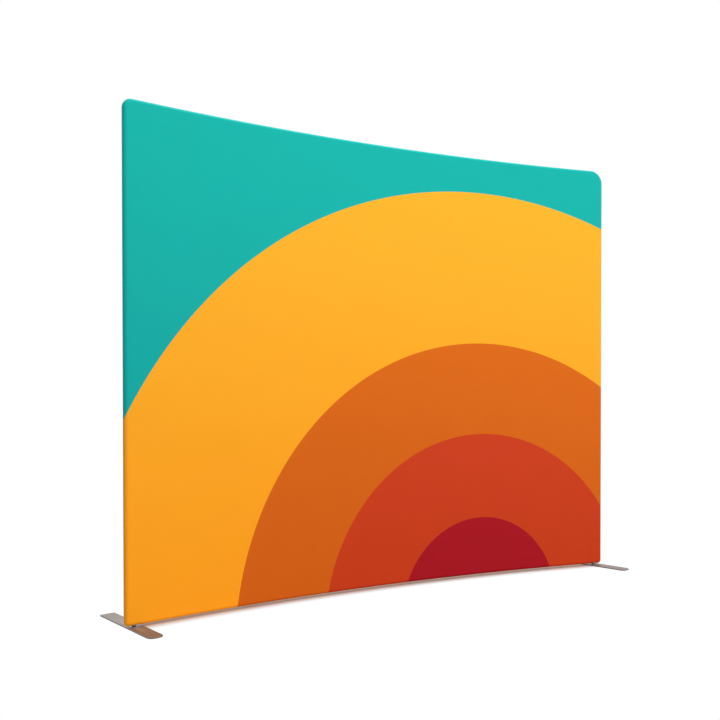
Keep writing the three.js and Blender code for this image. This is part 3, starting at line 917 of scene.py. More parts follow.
@dataclass
class Panel:
    """One panel of the cover: flat between the tubes and wrapped round them to the seam."""

    name: str
    side: Side
    edges: Edges
    start: float
    stop: float
    outline: Outline
    radius: float = SIZES.fabric_radius
    thickness: float = 0.8 * MM
    wrap_steps: int = 12
    seam_gap: float = 0.35 * MM
    seam_turn: float = 0.8 * MM
    turned_in: tuple[float, ...] = (0.12, 0.45, 1.0)
    turned_aside: float = 0.35
    foot_opening: float = 13 * MM
    facing_down: float = -0.7
    even_columns: int = 61
    far_inside: float = 0.1
    slack: float = 0.0

    def columns(self) -> np.ndarray:
        """Shares of the half width at which columns stand, closer over the feet's openings.

        Returns:
            The shares, from -1 to 1.
        """
        even = np.linspace(-1, 1, self.even_columns)
        reach = self.outline.half - self.outline.low_bend
        near = (SIZES.foot_u + np.arange(-14, 13) * MM) / reach
        near = near[near < 1]
        return np.unique(np.round(np.concatenate([even, near, -near]), 6))

    def height_grid(self, across: np.ndarray) -> np.ndarray:
        """The height of each point, by row and column.

        Args:
            across: the u of each column on the straight stretch of the sides.

        Returns:
            Heights, as rows by columns.
        """
        rows = self.outline.heights(self.start, self.stop)
        return np.repeat(rows[:, None], len(across), axis=1)

    def bow(self, u: np.ndarray, z: np.ndarray) -> np.ndarray:
        """How far the tight cloth lies off the arc, which is most at the middle of its height.

        On the hollow side it pulls forward of the centre post, as a cosine of u. On the other side
        it lies on the post and is drawn flatter on each side of it, as the square of a sine.

        Args:
            u: places along the wall.
            z: heights.

        Returns:
            Distances to the front.
        """
        span = self.outline.high - self.outline.low
        tall = np.sin(math.pi * np.clip((z - self.outline.low) / span, 0, 1))
        share = u / self.outline.half
        if self.side is Side.FRONT:
            return self.slack * tall * np.cos(math.pi / 2 * share)
        return self.slack * tall * np.sin(math.pi * share) ** 2

    def chain(self, rows: int, columns: int) -> np.ndarray:
        """The numbers of the grid's points along the wrapped edges, anticlockwise from the front.

        Args:
            rows: how many rows the grid has.
            columns: how many columns it has.

        Returns:
            Point numbers.
        """
        numbers = np.arange(rows * columns).reshape(rows, columns)
        bottom, top = numbers[0], numbers[-1][::-1]
        right, left = numbers[:, -1], numbers[:, 0][::-1]
        if self.edges is Edges.ALL:
            return np.concatenate([bottom[:-1], right[:-1], top[:-1], left[:-1]])
        if self.edges is Edges.UPPER:
            return np.concatenate([right[:-1], top[:-1], left])
        return np.concatenate([left[:-1], bottom[:-1], right])

    def seam_angles(self, u: np.ndarray, outward: np.ndarray) -> np.ndarray:
        """How far round the tube the cloth goes: a quarter turn, or less over a foot's opening.

        Args:
            u: places of the edge's points along the wall.
            outward: their directions out of the outline.

        Returns:
            Angles from the flat of the panel.
        """
        from_bolt = np.minimum(np.abs(np.abs(u) - SIZES.foot_u), self.foot_opening)
        round_bolt = np.sqrt(self.foot_opening**2 - from_bolt**2)
        opening = np.where(outward[:, 1] < self.facing_down, round_bolt, 0.0)
        depth = np.maximum(opening, self.seam_gap)
        return np.arccos(np.clip(depth / self.radius, 0, 1))

    def rings(self, base: np.ndarray) -> tuple[np.ndarray, np.ndarray, np.ndarray]:
        """The rings of points that go round the tube from the panel's edge to the seam.

        A point lies outward by the radius times the sine of the angle, and to its side by the
        cosine. The last rings turn in, as the sewn edge does. Laid flat, a point lies outward by
        its way round the tube.

        Args:
            base: the edge's points, as u, n and z.

        Returns:
            The points, their places on the flat cloth as u and z, and how far from the seam the
            edge's own points and then those of the rings are.
        """
        outward = self.outline.outward(base[:, 0], base[:, 2])
        last = self.seam_angles(base[:, 0], outward)
        steps = np.linspace(0, 1, self.wrap_steps + 1)[1:]
        turned_in = np.array(self.turned_in) * self.seam_turn
        angles = np.concatenate([steps[:, None] * last, np.tile(last, (len(turned_in), 1))])
        inward = np.concatenate([np.zeros(len(steps)), turned_in])[:, None]
        away = (self.radius - inward) * np.sin(angles)
        aside = np.cos(angles) * self.radius - inward * self.turned_aside
        around = self.radius * np.minimum(angles, math.pi / 2) + inward
        edge_u, edge_z = base[:, 0], base[:, 2]
        out_u, out_z = outward.T
        side = float(self.side.value)
        points = [edge_u + out_u * away, side * aside, edge_z + out_z * away]
        cloth = [edge_u + out_u * around, edge_z + out_z * around]
        inside = self.radius * np.vstack([last, (last - angles) * (inward == 0)])
        return np.stack(points, axis=-1), np.stack(cloth, axis=-1), inside

    def ring_faces(self, edge: np.ndarray, first: int, rings: int) -> np.ndarray:
        """Faces between the panel's edge and the rings after it.

        Args:
            edge: the numbers of the edge's points.
            first: the number of the first ring's first point.
            rings: how many rings there are.

        Returns:
            An array with four point numbers for each face.
        """
        strip = np.vstack([edge, first + np.arange(rings * len(edge)).reshape(rings, -1)])
        if self.edges is Edges.ALL:
            strip = np.hstack([strip, strip[:, :1]])
        corners = [strip[:-1, :-1], strip[1:, :-1], strip[1:, 1:], strip[:-1, 1:]]
        return np.stack(corners, axis=-1).reshape(-1, 4)

    def make(self, material: Material, slot: str) -> Piece:
        """Builds the panel: the flat is a grid of u and z, and rings go round the tubes.

        Its UV maps are "cloth", the place on the flat cloth, and "seam", the way along the seam
        and the distance from it.

        Args:
            material: its finish.
            slot: the record's material slot; not used.

        Returns:
            The panel, with its thickness.
        """
        shares = self.columns()
        z = self.height_grid(shares * self.outline.half)
        u = self.outline.edge(np.broadcast_to(shares, z.shape), z)
        n = self.side.value * self.radius - self.bow(u, z)
        flat = np.stack([u, n, z], axis=-1).reshape(-1, 3)
        edge = self.chain(*z.shape)
        base = flat[edge]
        rings, ring_cloth, inside = self.rings(base)

        faces = [grid_faces(*z.shape), self.ring_faces(edge, len(flat), len(rings))]
        faces = np.concatenate(faces)
        if self.side is Side.BACK:
            faces = faces[:, ::-1]

        lengths = np.linalg.norm(np.diff(base[:, [0, 2]], axis=0), axis=1)
        along = np.concatenate([[0.0], np.cumsum(lengths)])
        seam = np.stack([flat[:, 0], np.full(len(flat), self.far_inside)], axis=-1)
        near_seam = np.stack([np.broadcast_to(along, inside.shape), inside], axis=-1)
        seam[edge] = near_seam[0]
        maps = {
            "cloth": np.concatenate([flat[:, [0, 2]], ring_cloth.reshape(-1, 2)]),
            "seam": np.concatenate([seam, near_seam[1:].reshape(-1, 2)]),
        }

        everything = np.concatenate([flat, rings.reshape(-1, 3)])
        points = CURVE.place(*everything.T)
        piece = build(self.name, points, faces, material, maps=maps)
        return thickened(piece, self.thickness)


@dataclass
class ZippedPanel(Panel):
    """A panel with one edge along the zip: it steps back from the tape between the tape's ends."""

    slot_half: float = 1418 * MM
    slot_depth: float = 9 * MM
    step: float = 4 * MM
    fade: float = 36 * MM

    def columns(self) -> np.ndarray:
        """Shares of the half width, with more of them where the edge steps round the tape's end.

        Returns:
            The shares, from -1 to 1.
        """
        reach = self.outline.half
        near = (self.slot_half + np.linspace(-2 * self.step, 2 * self.step, 13)) / reach
        return np.unique(np.round(np.concatenate([super().columns(), near, -near]), 6))

    def height_grid(self, across: np.ndarray) -> np.ndarray:
        """The rows' heights, with the zip's edge moved back by the slot's depth over the tape.

        The move is a smooth step of u at the slot's ends, and fades away over the next rows.

        Args:
            across: the u of each column.

        Returns:
            Heights, as rows by columns.
        """
        heights = super().height_grid(across)
        zip_row = heights[0] if self.edges is Edges.UPPER else heights[-1]
        away = np.abs(heights - zip_row)
        into = np.clip((self.slot_half - np.abs(across)) / self.step + 0.5, 0, 1)
        shift = self.slot_depth * smooth(into)
        kept = np.clip(1 - away / self.fade, 0, 1)
        sign = 1.0 if self.edges is Edges.UPPER else -1.0
        return heights + sign * shift[None, :] * kept


@dataclass
class Cover:
    """The stretch cover: a printed front panel, a plain back panel and a hem under the zip."""

    front_bow: float = 8 * MM
    back_bow: float = 4 * MM
    hem_fade: float = 14 * MM
    stretch: float = 1.03
    rails: tuple[str, ...] = (
        "top_rail_centre", "bottom_rail_centre", "left_post_upper", "right_post_upper",
    )

    def make(self) -> dict[str, Piece]:
        """Builds the three panels.

        Returns:
            The panels by name.
        """
        outline = Outline()
        printed = PrintedArches().material()
        plain = PlainKnit().material()
        low, high = outline.low, outline.high
        over = SIZES.zip_height + SIZES.clearance / 2
        under = SIZES.zip_height - SIZES.clearance / 2
        front = Panel(
            "printed_front_panel", Side.FRONT, Edges.ALL, low, high, outline, slack=self.front_bow
        )
        back = ZippedPanel(
            "plain_back_panel", Side.BACK, Edges.UPPER, over, high, outline, slack=self.back_bow
        )
        hem = ZippedPanel(
            "hem_strip", Side.BACK, Edges.LOWER, low, under, outline, fade=self.hem_fade
        )
        return {
            "front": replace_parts(front.make(printed, "printed_fabric"), "cover_front"),
            "back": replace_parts(back.make(plain, "plain_fabric"), "cover_back"),
            "hem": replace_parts(hem.make(plain, "plain_fabric"), "cover_hem"),
        }


# --------------------------------------------------------------------------------------------
# The zip
# --------------------------------------------------------------------------------------------


def strand(path: np.ndarray, widths: np.ndarray, sides: int = 6) -> tuple[np.ndarray, np.ndarray]:
    """A short closed strand with an even number of sides: rings square to its run, and capped ends.

    Args:
        path: the middle of each ring, as x, n and z, in one plane.
        widths: the radius of each ring.
        sides: how many sides a ring has, an even number.

    Returns:
        Its points, and faces that are all four-sided.
    """
    run = np.gradient(path, axis=0)
    run /= np.linalg.norm(run, axis=1, keepdims=True)
    flat_way = np.array([0.0, 0.0, 1.0]) if abs(run[0, 0]) > 0.5 else np.array([1.0, 0.0, 0.0])
    across = np.cross(run, flat_way)
    turn = np.arange(sides) * 2 * math.pi / sides
    ring = np.cos(turn)[:, None] * flat_way + np.sin(turn)[:, None] * across[:, None, :]
    points = path[:, None, :] + widths[:, None, None] * ring
    last = (len(path) - 1) * sides
    near = [[0, k + 2, k + 1, k] for k in range(1, sides - 2, 2)]
    far = [[last, last + k, last + k + 1, last + k + 2] for k in range(1, sides - 2, 2)]
    sides_faces = grid_faces(len(path), sides, close_columns=True)
    return points.reshape(-1, 3), np.concatenate([sides_faces, np.array(near + far)])


def strung(
    points: np.ndarray, faces: np.ndarray, places: np.ndarray
) -> tuple[np.ndarray, np.ndarray]:
    """Copies of a small shape at places along the wall, each bent to the arc.

    Args:
        points: the shape's points, as x along the wall, n and z.
        faces: its faces.
        places: the u of each copy.

    Returns:
        The points in the shared frame, and the faces.
    """
    u = places[:, None] + points[None, :, 0]
    placed = CURVE.place(u, points[None, :, 1], points[None, :, 2])
    return repeated(placed, faces)


@dataclass
class ZipFastener:
    """The coil zip along the back: two tapes, a closed coil, stops, slider and pull.

    A real coil of this size turns every 1.5 mm. It is drawn with a turn every 2 mm. Profiles are in
    millimetres: the distance from the zip's middle line, and the distance behind the tubes' axis.
    """

    height: float = SIZES.zip_height
    tape_end: float = 1424 * MM
    tape_thickness: float = 0.3 * MM
    tape_across: tuple[float, ...] = (0.2, 0.6, 1.4, 4.5, 7.4, 7.9, 8.3, 8.7, 9.1, 11.0, 14.0)
    tape_behind: tuple[float, ...] = (
        17.05, 17.3, 17.42, 17.42, 17.42, 17.3, 17.0, 16.6, 16.34, 16.3, 16.28,
    )
    dip_start: float = 1411 * MM
    dip_length: float = 4 * MM
    dip_depth: float = 1.4 * MM
    coil_end: float = 1404 * MM
    coil_pitch: float = 2.0 * MM
    coil_across: tuple[float, ...] = (2.55, 1.7, 0.2, -0.75)
    coil_behind: tuple[float, ...] = (17.62, 18.55, 18.85, 18.35)
    coil_thickness: tuple[float, ...] = (0.40, 0.50, 0.52, 0.44)
    stitch_pitch: float = 3.6 * MM
    stitch_offset: float = 11.4 * MM
    stitch_along: tuple[float, ...] = (-1.45, -1.1, 0.0, 1.1, 1.45)
    stitch_behind: tuple[float, ...] = (16.95, 17.22, 17.34, 17.22, 16.95)
    stitch_thickness: tuple[float, ...] = (0.12, 0.2, 0.22, 0.2, 0.12)

    def tape(self, name: str, sign: float, material: Material) -> Piece:
        """A tape: flat beside the coil, then down a step and on under the panel's edge.

        Past the coil's end stops it dips, as a smooth step of u, and runs on under the cloth.

        Args:
            name: the piece's name.
            sign: 1 above the coil and -1 below it.
            material: its finish.

        Returns:
            The tape, with its thickness.
        """
        across = np.array(self.tape_across) * MM
        depth = np.array(self.tape_behind) * MM
        middle = np.linspace(-self.dip_start, self.dip_start, 155)
        end = np.linspace(self.dip_start, self.tape_end, 14)[1:]
        along = np.concatenate([-end[::-1], middle, end])
        u, d = np.meshgrid(along, across)
        into = np.clip((np.abs(u) - self.dip_start) / self.dip_length, 0, 1)
        n = depth[:, None] - self.dip_depth * smooth(into)
        points = CURVE.place(u, n, self.height + sign * d).reshape(-1, 3)
        faces = grid_faces(len(across), len(along))
        if sign > 0:
            faces = faces[:, ::-1]
        maps = {"cloth": np.stack([u, d], axis=-1)}
        piece = build(name, points, faces, material, maps=maps)
        return thickened(piece, self.tape_thickness)

    def coil(self, material: Material) -> Piece:
        """Both rows of the coil's turns: arched bars from each tape over the middle, in turn.

        Args:
            material: the nylon's finish.

        Returns:
            The coil, as one piece.
        """
        reach = np.array(self.coil_across) * MM
        arch = np.array(self.coil_behind) * MM
        places = even_places(2 * self.coil_end, self.coil_pitch)
        rows = []
        for sign, shift in ((1.0, 0.0), (-1.0, 0.5)):
            path = np.stack([0 * arch, arch, self.height + sign * reach], axis=-1)
            points, faces = strand(path, np.array(self.coil_thickness) * MM)
            if sign > 0:
                faces = faces[:, ::-1]
            rows.append(strung(points, faces, places + shift * self.coil_pitch))
        first = len(rows[0][0])
        points = np.concatenate([rows[0][0], rows[1][0]])
        faces = np.concatenate([rows[0][1], rows[1][1] + first])
        piece = build("zip_coil", points, faces, material, sharp_degrees=75.0)
        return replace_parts(piece, "zip_chain")

    def topstitch(self, name: str, sign: float, material: Material) -> Piece:
        """A row of stitches along a panel's edge, each a thread that dips in at its ends.

        Args:
            name: the piece's name.
            sign: 1 above the zip and -1 below it.
            material: the thread's finish.

        Returns:
            The row, as one piece.
        """
        along = np.array(self.stitch_along) * MM
        rise = np.array(self.stitch_behind) * MM
        row = np.full(len(along), self.height + sign * self.stitch_offset)
        path = np.stack([along, rise, row], axis=-1)
        points, faces = strand(path, np.array(self.stitch_thickness) * MM)
        points, faces = strung(points, faces, even_places(2 * self.coil_end, self.stitch_pitch))
        return build(name, points, faces, material, sharp_degrees=80.0)

    def make(self) -> dict[str, list[Piece]]:
        """Builds the zip.

        Returns:
            The pieces that are sewn to the back panel and to the hem strip.
        """
        tape = WovenTape().material()
        nylon = MouldedPolymer("white nylon coil", "e9e7e2", "d6d3cc", 0.32, 0.5 * MM).material()
        thread = SpunThread().material()
        casting = SatinMetal(
            "nickel-plated casting", "c9c8c5", "a9a7a2", 0.24, grain=1.5 * MM, relief=0.01 * MM
        )
        nickel = casting.material()
        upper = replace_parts(self.tape("zip_tape_above", 1.0, tape), "zip_tape_upper")
        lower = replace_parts(self.tape("zip_tape_below", -1.0, tape), "zip_tape_lower")
        coil = self.coil(nylon)
        rounded_copy("zip_stop_left", "left_end_stop", nickel, 0.5 * MM)
        rounded_copy("zip_stop_right", "right_end_stop", nickel, 0.5 * MM)
        rounded_copy("zip_slider", "slider_body", nickel, 0.45 * MM, "zip_slider")
        rounded_copy("zip_pull", "slider_pull", nickel, 0.3 * MM, "zip_pull")
        back = [self.topstitch("topstitch_back_panel", 1.0, thread), upper, coil]
        hem = [self.topstitch("topstitch_hem_strip", -1.0, thread), lower]
        return {"back": back, "hem": hem}


# --------------------------------------------------------------------------------------------
# The feet
# --------------------------------------------------------------------------------------------


@dataclass
class FootPlate:
    """A flat steel plate with a rounded front end, on a countersunk bolt."""

    front: float = 228 * MM
    back: float = 292 * MM
    width: float = 76 * MM
    thickness: float = 5 * MM
    front_corner: float = 30 * MM
    back_corner: float = 10 * MM
    edge: float = 0.7 * MM
    edge_steps: int = 4
    # The rim map's value on the plate's sides, which the finish paints in shade.
    side_mark: float = -1.0 * MM
    mouth: float = 8.2 * MM
    hole: float = 4.3 * MM
    corner_steps: int = 20
    straight_steps: int = 24

    def outline(self) -> tuple[np.ndarray, np.ndarray]:
        """The plate's edge, anticlockwise from above: straight runs between four corner arcs.

        Returns:
            The points of x and y, and the directions out of the edge there.
        """
        half = self.width / 2
        corners = [
            (half, -self.front, self.front_corner, -math.pi / 2),
            (half, self.back, self.back_corner, 0.0),
            (-half, self.back, self.back_corner, math.pi / 2),
            (-half, -self.front, self.front_corner, math.pi),
        ]
        turns = np.linspace(0, math.pi / 2, self.corner_steps + 1)
        points, directions = [], []
        for x, y, radius, first in corners:
            out = np.stack([np.cos(first + turns), np.sin(first + turns)], axis=-1)
            centre = np.array([x - math.copysign(radius, x), y - math.copysign(radius, y)])
            points.append(centre + radius * out)
            directions.append(out)
        for i in range(len(points)):
            start, stop = points[i][-1], points[(i + 1) % len(points)][0]
            share = np.linspace(0, 1, self.straight_steps + 1)[1:-1, None]
            points[i] = np.concatenate([points[i], start + share * (stop - start)])
            facing = np.repeat(directions[i][-1:], len(share), axis=0)
            directions[i] = np.concatenate([directions[i], facing])
        return np.concatenate(points), np.concatenate(directions)

    def make(self, name: str, u: float, turn: float, material: Material, body: str) -> Piece:
        """Builds the plate as one closed skin of rings.

        They go from the bolt's hole over the top, round the edge and under to the countersink. A
        ring is the outline moved inward, or a circle round the hole. Its UV maps are "plate", the
        place on the plate, and "rim", the distance from the edge, which is below 0 on the sides.

        Args:
            name: the piece's name.
            u: where its bolt lies along the wall.
            turn: how far it is turned from square to the wall.
            material: its finish.
            body: the body that it rides on.

        Returns:
            The plate.
        """
        outline, out = self.outline()
        count = len(outline)
        angle = np.arctan2(outline[:, 1], outline[:, 0])
        circle = np.stack([np.cos(angle), np.sin(angle)], axis=-1)
        top, edge, side = self.thickness, self.edge, self.side_mark
        inner = outline - out * 3 * edge
        rings: list[tuple[np.ndarray, float, float]] = [
            (circle * self.hole, top - edge, edge),
            (circle * (self.hole + edge / 2), top, edge),
            (inner, top, 3 * edge),
        ]
        turns = np.linspace(0, math.pi / 2, self.edge_steps + 1)
        for t in turns:
            sunk = edge * (1 - math.cos(t))
            rings.append((outline - out * edge * (1 - math.sin(t)), top - sunk, edge - edge * t))
        rings.append((outline, top - 1.5 * edge, side))
        for t in turns:
            sunk = edge * (1 - math.cos(t))
            rings.append((outline - out * sunk, edge * (1 - math.sin(t)), side))
        rings += [
            (inner, 0.0, 3 * edge),
            (circle * self.mouth, 0.0, edge),
            (circle * self.hole, self.mouth - self.hole, edge),
        ]
        points = np.concatenate([np.column_stack([r, np.full(count, z)]) for r, z, _ in rings])
        faces = grid_faces(len(rings), count, close_rows=True, close_columns=True)[:, ::-1]
        inside = np.repeat([distance for _, _, distance in rings], count)
        maps = {"plate": points[:, :2], "rim": np.stack([inside, 0 * inside], axis=-1)}
        placed = CURVE.square(u, points, turn)
        return build(name, placed, faces, material, body, maps, sharp_degrees=50.0)


@dataclass
class Feet:
    """The two feet, their countersunk bolts and their spacers."""

    plate: FootPlate
    right_turn: float = math.radians(26)
    bolt_edge: float = 0.25 * MM
    spacer_edge: float = 0.5 * MM

    def make(self) -> None:
        """Builds both feet in the places of their CAD nodes."""
        steel = BrushedPlate().material()
        plated = SatinMetal(
            "zinc-plated steel", "b9bcc0", "8f9296", 0.38, grain=1.5 * MM, relief=0.02 * MM
        )
        zinc = plated.material()
        nylon = MouldedPolymer("moulded black nylon", "1b1a19", "2b2927", 0.48).material()
        for side, sign, turn in (("left", -1.0, 0.0), ("right", 1.0, self.right_turn)):
            foot, bolt, ring = f"{side}_foot", f"{side}_countersunk_bolt", f"{side}_spacer_ring"
            plate = self.plate.make(foot, sign * SIZES.foot_u, turn, steel, foot)
            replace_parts(plate, f"{foot}_plate")
            rounded_copy(f"{foot}_bolt", bolt, zinc, self.bolt_edge)
            rounded_copy(f"{foot}_spacer", ring, nylon, self.spacer_edge)


# --------------------------------------------------------------------------------------------
# Springs of the snap buttons
# --------------------------------------------------------------------------------------------


@dataclass(frozen=True)
class SnapSprings:
    """The leaf springs behind the snap buttons, rounded copies of their CAD nodes."""

    edge: float = 0.1 * MM
    slot: str = "spring_steel"

    def make(self, steel: Material) -> None:
        """Makes a rounded copy of the spring of each button, on a mesh of its own.

        Args:
            steel: the springs' finish.
        """
        presses = [joint for joint in frame["joints"] if joint["name"].endswith("_press")]
        for joint in presses:
            place = joint["name"].removesuffix("_press")
            leaf = rounded_copy(f"{place}_spring", f"{place}_leaf", steel, self.edge)
            points = np.array([corner.co for corner in leaf.data.vertices])
            depths = points @ np.array(joint["axis"])
            anchor = tuple(points[depths.argmax()].tolist())
            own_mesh(leaf)


# --------------------------------------------------------------------------------------------
# Camera, lamps and floor
# --------------------------------------------------------------------------------------------


@dataclass(frozen=True)
class Camera:
    """The camera that was fitted to the outline of the wall in the photograph."""

    image: float = 720.0
    focal_px: float = 892.0
    sensor_mm: float = 36.0
    place: tuple[float, float, float] = (-2.5146, -4.0693, 1.1158)
    yaw: float = 0.51539
    pitch: float = -0.01321
    roll: float = -0.00066
    shift_px: float = 34.4
    farthest: float = 200.0

    def make(self) -> None:
        """Makes the camera: it looks along +Y, turned by the yaw towards +X and up by the pitch."""
        data = bpy.data.cameras.new("camera")
        data.sensor_width = self.sensor_mm
        data.lens = self.focal_px / self.image * self.sensor_mm
        data.shift_y = self.shift_px / self.image
        data.clip_end = self.farthest
        forward = Vector((math.sin(self.yaw), math.cos(self.yaw), 0.0))
        ahead = forward * math.cos(self.pitch) + Vector((0.0, 0.0, math.sin(self.pitch)))
        level = Vector((math.cos(self.yaw), -math.sin(self.yaw), 0.0))
        up = level.cross(ahead)
        right = level * math.cos(self.roll) + up * math.sin(self.roll)
        over = up * math.cos(self.roll) - level * math.sin(self.roll)
        camera = bpy.data.objects.new("camera", data)
        turned = Matrix((right, over, -ahead)).transposed().to_4x4()
        camera.matrix_world = Matrix.Translation(Vector(self.place)) @ turned
        bpy.context.scene.collection.objects.link(camera)
        bpy.context.scene.camera = camera


@dataclass(frozen=True)
class Lamp:
    """A soft square lamp that looks at the wall."""

    name: str
    place: tuple[float, float, float]
    size: float
    watts: float
    target: tuple[float, float, float] = (0.0, 0.0, 1.1)

    def make(self) -> Piece:
        """Makes the lamp.

        Returns:
            The lamp's object.
        """
        data = bpy.data.lights.new(self.name, "AREA")
        data.shape = "SQUARE"
        data.size = self.size
        data.energy = self.watts
        lamp = bpy.data.objects.new(self.name, data)
        place = Vector(self.place)
        turned = (Vector(self.target) - place).to_track_quat("-Z", "Y").to_matrix().to_4x4()
        lamp.matrix_world = Matrix.Translation(place) @ turned
        bpy.context.scene.collection.objects.link(lamp)
        return lamp


@dataclass(frozen=True)
class Studio:
    """A white studio: a sky that is brighter towards the front, soft lamps and a pale floor.

    The floor is matt round the wall, where it takes its shadow, and runs out into white.
    """

    sky_low: float = 0.20
    sky_high: float = 1.00
    sky_towards: tuple[float, float, float] = (0.42, -0.75, 0.51)
    sky_start: float = -0.7
    floor_colour: str = "d4d2cf"
    shade_colour: str = "ecd3c3"
    floor_half: float = 40.0
    fade_start: float = 0.02
    fade_end: float = 0.11
    shade_back: float = 0.02
    end_shade: float = 2.5
    end_inset: float = 0.06
    lamps: tuple[Lamp, ...] = (
        Lamp("front lamp", (2.6, -5.8, 2.0), 3.4, 150.0),
        Lamp("top lamp", (0.0, 0.0, 5.4), 2.6, 100.0, (0.0, 0.0, 2.4)),
        Lamp("back lamp", (2.2, 5.6, 3.8), 3.4, 165.0),
    )

    def seen_directly(self, tree: Tree) -> Socket:
        """Tells the rays that show a thing from those that only carry its light.

        Args:
            tree: the material's or world's node tree.

        Returns:
            1 for rays from the camera, off metal or through glass, and 0 for the others.
        """
        path = add_node(tree, "ShaderNodeLightPath").outputs
        seen = math_node(tree, "MAXIMUM", path["Is Camera Ray"], path["Is Glossy Ray"])
        return math_node(tree, "MAXIMUM", seen, path["Is Transmission Ray"])

    def make_sky(self) -> None:
        """Lights the scene, and shows as plain white."""
        world = bpy.data.worlds.new("studio")
        bpy.context.scene.world = world
        world.use_nodes = True
        tree = world.node_tree
        ray = add_node(tree, "ShaderNodeTexCoord").outputs["Generated"]
        inputs = {0: ray, 1: Vector(self.sky_towards).normalized()}
        towards = add_node(tree, "ShaderNodeVectorMath", inputs, operation="DOT_PRODUCT")
        cosine = towards.outputs["Value"]
        light = ramped(tree, cosine, self.sky_start, 1.0, self.sky_low, self.sky_high)
        inputs = {0: self.seen_directly(tree), 2: light, 3: 1.0}
        strength = add_node(tree, "ShaderNodeMix", inputs, data_type="FLOAT").outputs[0]
        background = tree.nodes["Background"]
        background.inputs["Color"].default_value = WHITE
        tree.links.new(strength, background.inputs["Strength"])

    def from_wall(self, finish: Finish) -> Socket:
        """How far a place on the floor is from the wall's line, in metres.

        Off the arc it is the difference of the distance from the arc's centre and a radius a little
        behind the tubes. Past the ends it is the difference in x, enlarged so that the shade ends
        sooner, and on the far side of the centre, where the circle has no wall, the difference in
        y. The two are joined as the sides of a right angle.

        Args:
            finish: the floor's material under way.

        Returns:
            The distance.
        """
        tree = finish.tree
        inputs = {0: finish.place(), 1: (CURVE.centre_x, CURVE.centre_y, 0.0)}
        place = add_node(tree, "ShaderNodeVectorMath", inputs, operation="SUBTRACT")
        away = place.outputs["Vector"]
        side, depth, _ = add_node(tree, "ShaderNodeSeparateXYZ", {"Vector": away}).outputs
        reach = add_node(tree, "ShaderNodeVectorMath", {0: away}, operation="LENGTH")
        radius = CURVE.radius + self.shade_back
        off_arc = math_node(tree, "SUBTRACT", reach.outputs["Value"], radius)
        end = CURVE.radius * math.sin((SIZES.half_arc - self.end_inset) / CURVE.radius)
        past = math_node(tree, "SUBTRACT", math_node(tree, "ABSOLUTE", side), end)
        past = math_node(tree, "MAXIMUM", past, math_node(tree, "MULTIPLY", depth, -1.0))
        past = math_node(tree, "MAXIMUM", past, 0.0)
        return length_node(tree, math_node(tree, "MULTIPLY", past, self.end_shade), off_arc)

    def make_floor(self) -> Piece:
        """Makes the floor: pale and matt near the wall, where it takes its shadow, then white.

        Near the wall it is a little warmer.

        Returns:
            The floor.
        """
        finish = Finish("pale studio floor")
        tree = finish.tree
        tree.nodes.remove(finish.shader)
        far = ramped(tree, self.from_wall(finish), self.fade_start, self.fade_end)
        tint = mixed(tree, far, linear(self.shade_colour), linear(self.floor_colour))
        matt = add_node(tree, "ShaderNodeBsdfDiffuse", {"Color": tint})
        white = add_node(tree, "ShaderNodeEmission", {"Color": WHITE})
        share = math_node(tree, "MULTIPLY", far, self.seen_directly(tree))
        inputs = {0: share, 1: matt.outputs[0], 2: white.outputs[0]}
        surface = add_node(tree, "ShaderNodeMixShader", inputs).outputs[0]
        tree.links.new(surface, tree.nodes["Material Output"].inputs["Surface"])

        x, y = np.meshgrid([-self.floor_half, self.floor_half], [-self.floor_half, self.floor_half])
        corners = np.stack([x, y, 0 * x], axis=-1).reshape(-1, 3)
        mesh = bpy.data.meshes.new("studio_floor")
        mesh.from_pydata(corners.tolist(), [], grid_faces(2, 2).tolist())
        mesh.materials.append(finish.material)
        floor = bpy.data.objects.new("studio_floor", mesh)
        bpy.context.scene.collection.objects.link(floor)
        return floor

    def keep_off(self, lamp: Piece, floor: Piece) -> None:
        """Lets a lamp light all but the floor, so that the floor under the wall stays in shade.

        Args:
            lamp: the lamp.
            floor: the floor.
        """
        unlit = bpy.data.collections.new(f"{lamp.name} leaves out")
        unlit.objects.link(floor)
        lamp.light_linking.receiver_collection = unlit
        unlit.collection_objects[0].light_linking.link_state = "EXCLUDE"

    def make(self) -> None:
        """Makes the sky, the floor and the lamps, and sets the plain view."""
        self.make_sky()
        floor = self.make_floor()
        for plan in self.lamps:
            self.keep_off(plan.make(), floor)
        bpy.context.scene.view_settings.view_transform = "Standard"


# --------------------------------------------------------------------------------------------
# The whole wall
# --------------------------------------------------------------------------------------------


def dress_frame(spring: Material) -> None:
    """Gives each CAD node that is still shown its finish.

    Args:
        spring: the finish of the buttons, which is that of their springs.
    """
    drawn = SatinMetal(
        "anodised tube", "c9cbce", "b4b6b9", 0.34, 2.0 * MM, 0.01 * MM, stretch=(1.0, 1.0, 0.1)
    )
    cast = SatinMetal("blasted casting", "b0b2b4", "97999b", 0.5, 1.2 * MM, 0.04 * MM)
    nylon = MouldedPolymer("moulded black nylon cup", "1b1a19", "2b2927", 0.48)
    finishes = {
        "tube_aluminium": drawn.material(),
        "cast_aluminium": cast.material(),
        "spring_steel": spring,
        "black_plastic": nylon.material(),
    }
    slots = {part["node"]: part["material_slot"] for part in frame["record"]["subparts"]}
    for name, node in frame["nodes"].items():
        if not node.hide_render and slots[name] in finishes:
            node.data.materials.clear()
            node.data.materials.append(finishes[slots[name]])


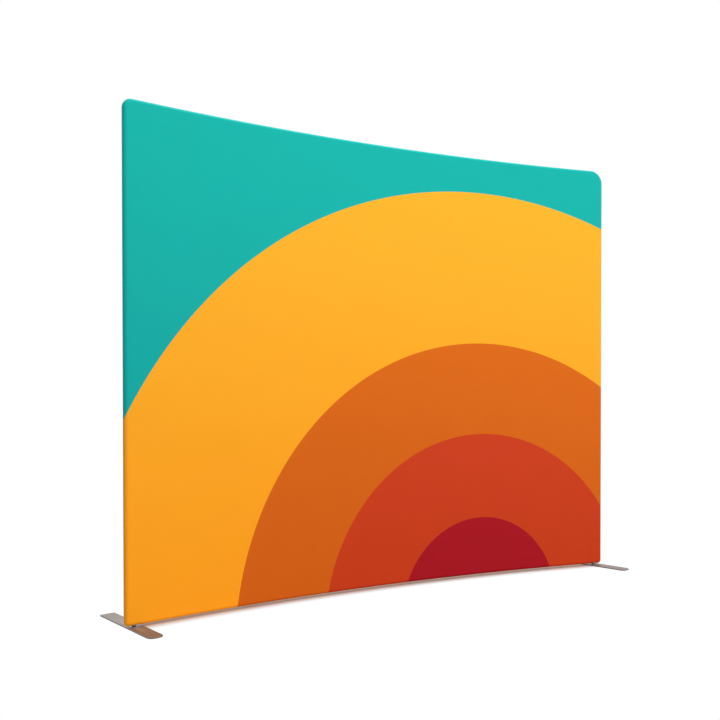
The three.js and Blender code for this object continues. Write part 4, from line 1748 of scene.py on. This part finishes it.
def main() -> None:
    """Builds the wall, sub-assembly by sub-assembly."""
    logging.basicConfig(level=logging.INFO, format="%(name)s %(message)s")
    Camera().make()
    Studio().make()
    cover = Cover()
    panels = cover.make()
    sewn = ZipFastener().make()
    Feet(FootPlate()).make()
    spring = SatinMetal("spring steel", "9c9fa3", "7f8286", 0.3, 1.0 * MM, 0.01 * MM).material()
    SnapSprings().make(spring)
    dress_frame(spring)


if __name__ == "__main__":
    main()
